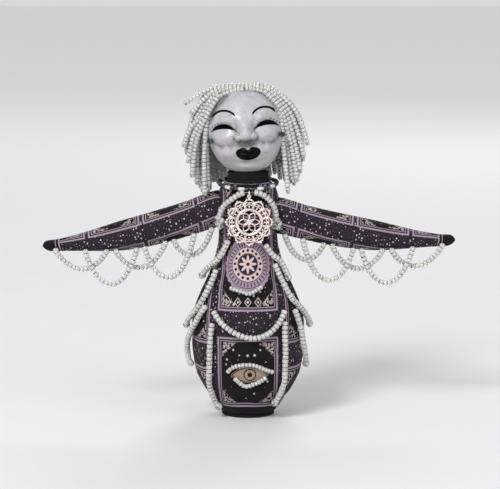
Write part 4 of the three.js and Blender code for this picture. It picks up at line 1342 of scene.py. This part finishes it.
def face_relief(p, q):
    """How far the clay stands out from the plain oval of the face."""
    side = abs(p)
    q -= FEATURES_UP
    ball = max(bulb(p, q, 0, NOSE, 3.5, 3.7), bulb(side, q, 3.7, NOSE - 0.8, 1.9, 2.0))
    bridge = 2.6 * swell(p, q, 0, NOSE + 4.6, 2.7, 3.6) + 1.2 * swell(p, q, 0, NOSE, 4.2, 2.6)
    nose = (ball**3 + bridge**3) ** (1 / 3)
    lids = 2.8 * swell(side, q, 10, 6.8, 5.0, 2.7)
    cheeks = 2.6 * swell(side, q, 10.8, -2.5, 5.2, 3.2)
    jowls = 2.2 * swell(side, q, 10, -10.4, 3.8, 3.2)
    mouth = 1.8 * swell(p, q, MOUTH[0], MOUTH[1], 6.6, 4.2)
    chin = 2.2 * swell(p, q, 0.3, -18.4, 5.6, 2.4)
    folds = 0.5 * near_line(side, q, SMILE_FOLD, 1.5) + 0.5 * near_line(side, q, CHEEK_FOLD, 1.3)
    folds += 0.9 * near_line(side, q, LID_FOLD, 0.8) + 0.7 * near_line(side, q, SOCKET_FOLD, 1.4)
    return nose + lids + cheeks + jowls + mouth + chin - folds


def face_painted_shade(p, q):
    """Painted shade under the nose and the lip, in the folds and beside the nose, and a painted shadow of the
    hair at one temple.
    """
    side = abs(p)
    q -= FEATURES_UP
    under = 2.2 * swell(p, q, 0.2, NOSE - 4.2, 4.4, 1.7) + 0.5 * swell(p, q, 0.4, -15, 5.6, 0.8)
    folds = 0.2 * near_line(side, q, SMILE_FOLD, 1.6) + 0.4 * near_line(side, q, CHEEK_FOLD[1:], 1.3)
    folds += 0.3 * near_line(side, q, NOSE_SIDE, 0.8)
    return under + folds + 0.75 * near_line(p, q, TEMPLE_BAND, 1.3)


def face_front(p, q):
    oval = 1 - (p / FACE[0]) ** 2 - (q / FACE[2]) ** 2
    fade = min(1, 3 * math.sqrt(max(oval, 0)))
    return FACE_BACK - FACE[1] * math.sqrt(max(oval, 0)) - fade * face_relief(p, q)


class DOLL_OT_face(DollMaker, Operator):
    """Models the clay face, the lips and the cheek beads"""

    bl_idname = "doll.face"
    bl_label = "Face"
    hollow_reach = 1.3

    def make(self, sizes, tints):
        self.make_clay(tints)
        self.make_lips(tints)
        self.make_cheek_beads(tints)

    def make_clay(self, tints):
        bm = bmesh.new()
        bmesh.ops.create_icosphere(bm, subdivisions=6, radius=1)
        painted_shade = bm.verts.layers.float.new("painted_shade")
        for vertex in bm.verts:
            p, q = vertex.co.x * FACE[0], vertex.co.z * (FACE_TOP if vertex.co.z > 0 else FACE[2])
            depth = max(-vertex.co.y, 0)
            relief = face_relief(p, q)
            # Painted shade: darker where the relief lies below its surroundings, along the rim of the face
            # where it meets the head, and at the painted marks under the nose, the lip and one temple
            reach = self.hollow_reach
            around = [(p + reach, q), (p - reach, q), (p, q + reach), (p, q - reach)]
            mean = sum(face_relief(*spot) for spot in around) / 4
            rim = 0.45 * math.exp(-((depth / 0.22) ** 2))
            vertex[painted_shade] = min(max((mean - relief) * 1.25, 0) + face_painted_shade(p, q) + rim, 1)
            vertex.co = (p, FACE_BACK - FACE[1] * depth - relief * min(1, 3 * depth), q)
        layer = bm.loops.layers.uv.new("face")
        for face in bm.faces:
            for loop in face.loops:
                loop[layer].uv = (loop.vert.co.x / 100, loop.vert.co.z / 100)
        bmesh.ops.transform(bm, matrix=HEAD_PLACE, verts=bm.verts)
        bmesh.ops.recalc_face_normals(bm, faces=bm.faces)
        finish_piece("clay_face", bm, "head", [face_clay(tints)], ("face",), levels=1)

    def make_lips(self, tints):
        bm = bmesh.new()
        bmesh.ops.create_icosphere(bm, subdivisions=5, radius=1)
        for vertex in bm.verts:
            x, y, z = vertex.co
            bow = 1 - 0.46 * math.exp(-((x / 0.2) ** 2)) if z > 0 else 1 + 0.15 * x * x
            p = MOUTH[0] + MOUTH_HALF[0] * x
            q = MOUTH[1] + FEATURES_UP + MOUTH_HALF[1] * (z * bow + 0.2 * x * x - 0.08)
            crease = 0.75 * math.exp(-(((z - 0.12) / 0.13) ** 2)) * (1 - x * x)
            out = 1.5 * max(-y, 0) ** 0.7 - crease if y < 0 else -0.9 * y
            vertex.co = (p, face_front(p, q) - out, q)
        bmesh.ops.transform(bm, matrix=HEAD_PLACE, verts=bm.verts)
        bmesh.ops.recalc_face_normals(bm, faces=bm.faces)
        finish_piece("painted_lips", bm, "head", [lacquer(tints)], ("lips",), levels=1)

    def make_cheek_beads(self, tints):
        glass = iris_glass(tints)
        for side in SIDES:
            node = f"{side}_cheek_bead"
            low, high = (corner / MM for corner in map(Vector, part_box(node)))
            bm = bmesh.new()
            moulds = bead_moulds((high.x - low.x) * 0.98, 2.6)
            aim = Vector((SIDES[side] * 0.55, -0.8, 0.1)).normalized()
            spot = (low + high) / 2 + Vector((-SIDES[side] * 0.9, -1.5, 0))
            add_copy(bm, moulds[1], along_route(spot, aim))
            stud = Matrix.Translation(spot + aim * 0.9)
            bmesh.ops.create_icosphere(bm, subdivisions=2, radius=0.62, matrix=stud)
            finish_piece(f"{side}_cheek_jewel", bm, "head", [glass], (node,), levels=1)
            clear_moulds(moulds)


PARTING = 1.5  # where the hair parts, to the doll's left of the middle
CROWN_POLAR = 34
TEMPLE_POLAR = 66
LAYER = 2.6  # how far one layer of strands lies above another
CROWN_SHARE = {-1: 0.75, 1: 0.5}  # how much of that a strand has at the crown, on either side
# Strand tips at the sides: reach from the middle, height, depth, layer, azimuth at the temple, and the
# depth of the root at the parting, or None for a strand that starts under the others at the crown
SIDE_TIPS = {
    "right": [
        (28.5, 18, -2, 2.6, 86, -0.5), (26, 13, -3, 1.9, 80, -2.8), (31.5, -3, -3, 1.2, 78, -5),
        (30, -11, -3.5, 0.8, 74, None), (29, -18.5, -3.5, 0.5, 71, None), (23.5, -28, -5.5, 0, 73, -6.5),
        (30.5, -7, 0, 2.5, 90, 1.8), (28.5, -14, -0.5, 1.8, 85, None), (27, -22.5, -1, 1.0, 80, None),
        (21.5, -24, -3.5, 0, 75, None), (29.5, -12, 2.5, 2.4, 98, 4), (24.5, -27, 1.5, 0.6, 89, None),
        (27.5, -19, 3, 1.4, 96, None), (22, -28, 3, 0, 97, None), (25.5, -25, 4, 0.7, 102, None),
    ],
    "left": [
        (30.5, -8, -2.5, 2.2, 84, -2.8), (28, -14, -3, 1.4, 79, -5), (25.6, -21, -3.5, 0.8, 76, None),
        (23.7, -25.6, -4, 0.4, 72, None), (18.5, -31, -6, 0, 73, -6.5), (29.5, -3, 0.5, 2.4, 90, -0.5),
        (27.5, -16, -0.5, 1.6, 87, None), (21, -26, -3, 0, 75, None), (25.5, -22, 0, 0.9, 85, None),
        (28, -10, 2.5, 2.2, 98, 1.8), (22, -28, 2, 0.2, 93, None), (26, -19, 2.5, 1.3, 97, None),
        (20, -27, 3.5, 0, 100, None), (24.5, -24, 3.5, 0.7, 103, None),
    ],
}


def on_head(polar, azimuth, lift):
    out = math.sin(math.radians(polar))
    turn = math.radians(azimuth)
    x = (FACE[0] + lift) * out * math.sin(turn)
    y = -(SKULL[1] + 1.7 + lift) * out * math.cos(turn)
    return Vector((x, y, (FACE_TOP + lift) * math.cos(math.radians(polar))))


class DOLL_OT_hair(DollMaker, Operator):
    """Strings the wig over a black head form"""

    bl_idname = "doll.hair"
    bl_label = "Bead Hair"

    def make(self, sizes, tints):
        self.make_form(sizes, tints)
        glass = silver_lined(tints)
        bead, pitch = sizes.hair_bead / MM, sizes.hair_pitch / MM
        moulds = bead_moulds(bead, pitch)
        for name, side in SIDES.items():
            luck = random.Random(90 + side)
            sides = self.side_routes(name, side, bead)
            backs = self.back_routes(side, bead, sizes.hair_back, luck)
            for place, routes in {"side": sides, "back": backs}.items():
                bm = bmesh.new()
                for route in routes:
                    placed = [HEAD_PLACE @ point for point in route]
                    string_beads(bm, placed, moulds, pitch, luck)
                    add_stop(bm, placed, luck.choice(moulds), 0.85)
                node = f"hair_{name}_{place}"
                finish_piece(f"{node}_beads", bm, "head", glass, (node,))
        clear_moulds(moulds)

    def make_form(self, sizes, tints):
        bm = bmesh.new()
        bmesh.ops.create_icosphere(bm, subdivisions=5, radius=1)
        bmesh.ops.scale(bm, vec=[half + 0.9 for half in SKULL], verts=bm.verts)
        lay_cloth(bm, lambda co: (math.atan2(co.x, -co.y), co.z), lambda angle, z: angle * SKULL[0])
        bmesh.ops.transform(bm, matrix=HEAD_PLACE, verts=bm.verts)
        black = plain_cotton("head_cotton", sizes, tints.cloth)
        form = finish_piece("head_form", bm, "head", [black], ("skull",))

    def route(self, side, azimuth, layer, tip, root, bead):
        """From the parting, or the crown, over the temple and down to a tip."""
        rest = bead / 2 + 0.1
        points = [on_head(CROWN_POLAR, side * azimuth, rest + layer * LAYER * CROWN_SHARE[side])]
        if root is not None:
            top = (FACE_TOP + rest) * math.sqrt(1 - (root / (SKULL[1] + 2 + rest)) ** 2)
            points.insert(0, Vector((PARTING, root, top)))
        if tip.z < 0:
            temple = on_head(TEMPLE_POLAR, side * azimuth, rest + layer * LAYER)
            hang = temple.lerp(tip, 0.45)
            points += [temple, hang + Vector((tip.x - hang.x, tip.y - hang.y, 0)) * 0.35]
        return smooth_route([*points, tip], 8)

    def side_routes(self, name, side, bead):
        routes = []
        for reach, up, y, layer, azimuth, root in SIDE_TIPS[name]:
            routes.append(self.route(side, azimuth, layer, Vector((side * reach, y, up)), root, bead))
        return routes

    def back_routes(self, side, bead, count, luck):
        routes = []
        for layer in (0, 1):
            for k in range(count):
                azimuth = 104 + (178 - 104) * (k + 0.5 * layer) / (count - 0.5)
                reach = luck.uniform(22, 24.5) + 2.4 * layer
                up = luck.uniform(-28, -23) + 6 * layer
                turn = math.radians(azimuth)
                tip = Vector((side * reach * math.sin(turn), -reach * math.cos(turn), up))
                root = 4 + 11 * k / count if layer else None
                routes.append(self.route(side, azimuth, layer, tip, root, bead))
        return routes


# Stage

AIM = Vector((1.0, 0, 87.8)) * MM
CAMERA_DISTANCE = 0.9
CAMERA_ELEVATION = 8
CAMERA_LENS = 127


class DOLL_OT_stage(DollMaker, Operator):
    """Sets the floor, the soft lights and the camera"""

    bl_idname = "doll.stage"
    bl_label = "Stage"
    floor_reach = 40
    lamps = [
        ("key_light", (-0.88, -1.44, 1.6), 0.8, 33),
        ("fill_light", (1.44, -1.12, 0.72), 1.28, 6.4),
        ("rim_light", (0.4, 1.52, 1.44), 0.96, 12.8),
    ]
    world_strength = 0.5

    def make(self, sizes, tints):
        bm = bmesh.new()
        bmesh.ops.create_circle(bm, cap_ends=True, segments=64, radius=self.floor_reach)
        mesh = bpy.data.meshes.new("floor")
        bm.to_mesh(mesh)
        bm.free()
        mesh.materials.append(floor_paper(tints))
        floor = bpy.data.objects.new("floor", mesh)
        floor.location.z = -0.0002
        bpy.context.scene.collection.objects.link(floor)
        for name, place, size, power in self.lamps:
            self.make_lamp(name, Vector(place), size, power)
        self.make_world(tints)
        self.make_camera()

    def make_lamp(self, name, place, size, power):
        light = bpy.data.lights.new(name, "AREA")
        light.shape = "DISK"
        light.size = size
        light.energy = power
        lamp = bpy.data.objects.new(name, light)
        lamp.location = place
        lamp.rotation_euler = (AIM - place).to_track_quat("-Z", "Y").to_euler()
        bpy.context.scene.collection.objects.link(lamp)

    def make_world(self, tints):
        world = bpy.data.worlds.new("studio")
        paint = Paint("studio", {}, world)
        paint.finish(Color=tints.floor, Strength=paint.seen() * FLOOR_GLOW + self.world_strength)
        bpy.context.scene.world = world

    def make_camera(self):
        lens = bpy.data.cameras.new("camera")
        lens.lens = CAMERA_LENS
        lens.clip_start = 0.01
        lens.clip_end = 200
        camera = bpy.data.objects.new("camera", lens)
        tilt = math.radians(CAMERA_ELEVATION)
        camera.location = AIM + Vector((0, -math.cos(tilt), math.sin(tilt))) * CAMERA_DISTANCE
        camera.rotation_euler = (AIM - camera.location).to_track_quat("-Z", "Y").to_euler()
        bpy.context.scene.collection.objects.link(camera)
        bpy.context.scene.camera = camera
        bpy.context.scene.view_settings.view_transform = "Standard"


MAKERS = [
    DOLL_OT_stage, DOLL_OT_strands, DOLL_OT_loops, DOLL_OT_trim, DOLL_OT_torso, DOLL_OT_arms,
    DOLL_OT_charm, DOLL_OT_face, DOLL_OT_hair,
]


class DOLL_PT_panel(Panel):
    """Lists the pieces of the doll"""

    bl_label = "Beaded Art Doll"
    bl_idname = "DOLL_PT_panel"
    bl_space_type = "VIEW_3D"
    bl_region_type = "UI"
    bl_category = "Doll"

    def draw(self, context):
        for group in (context.scene.doll_sizes, context.scene.doll_colours):
            box = self.layout.box()
            for name in group.__annotations__:
                box.prop(group, name)
        for maker in MAKERS:
            self.layout.operator(maker.bl_idname)


CLASSES = [DollSizes, DollColours, *MAKERS, DOLL_PT_panel]


def register():
    for one in CLASSES:
        bpy.utils.register_class(one)
    bpy.types.Scene.doll_sizes = PointerProperty(type=DollSizes)
    bpy.types.Scene.doll_colours = PointerProperty(type=DollColours)


def unregister():
    del bpy.types.Scene.doll_colours
    del bpy.types.Scene.doll_sizes
    for one in reversed(CLASSES):
        bpy.utils.unregister_class(one)


def main():
    register()
    for maker in MAKERS:
        family, name = maker.bl_idname.split(".")
        getattr(getattr(bpy.ops, family), name)()


if __name__ == "__main__":
    main()
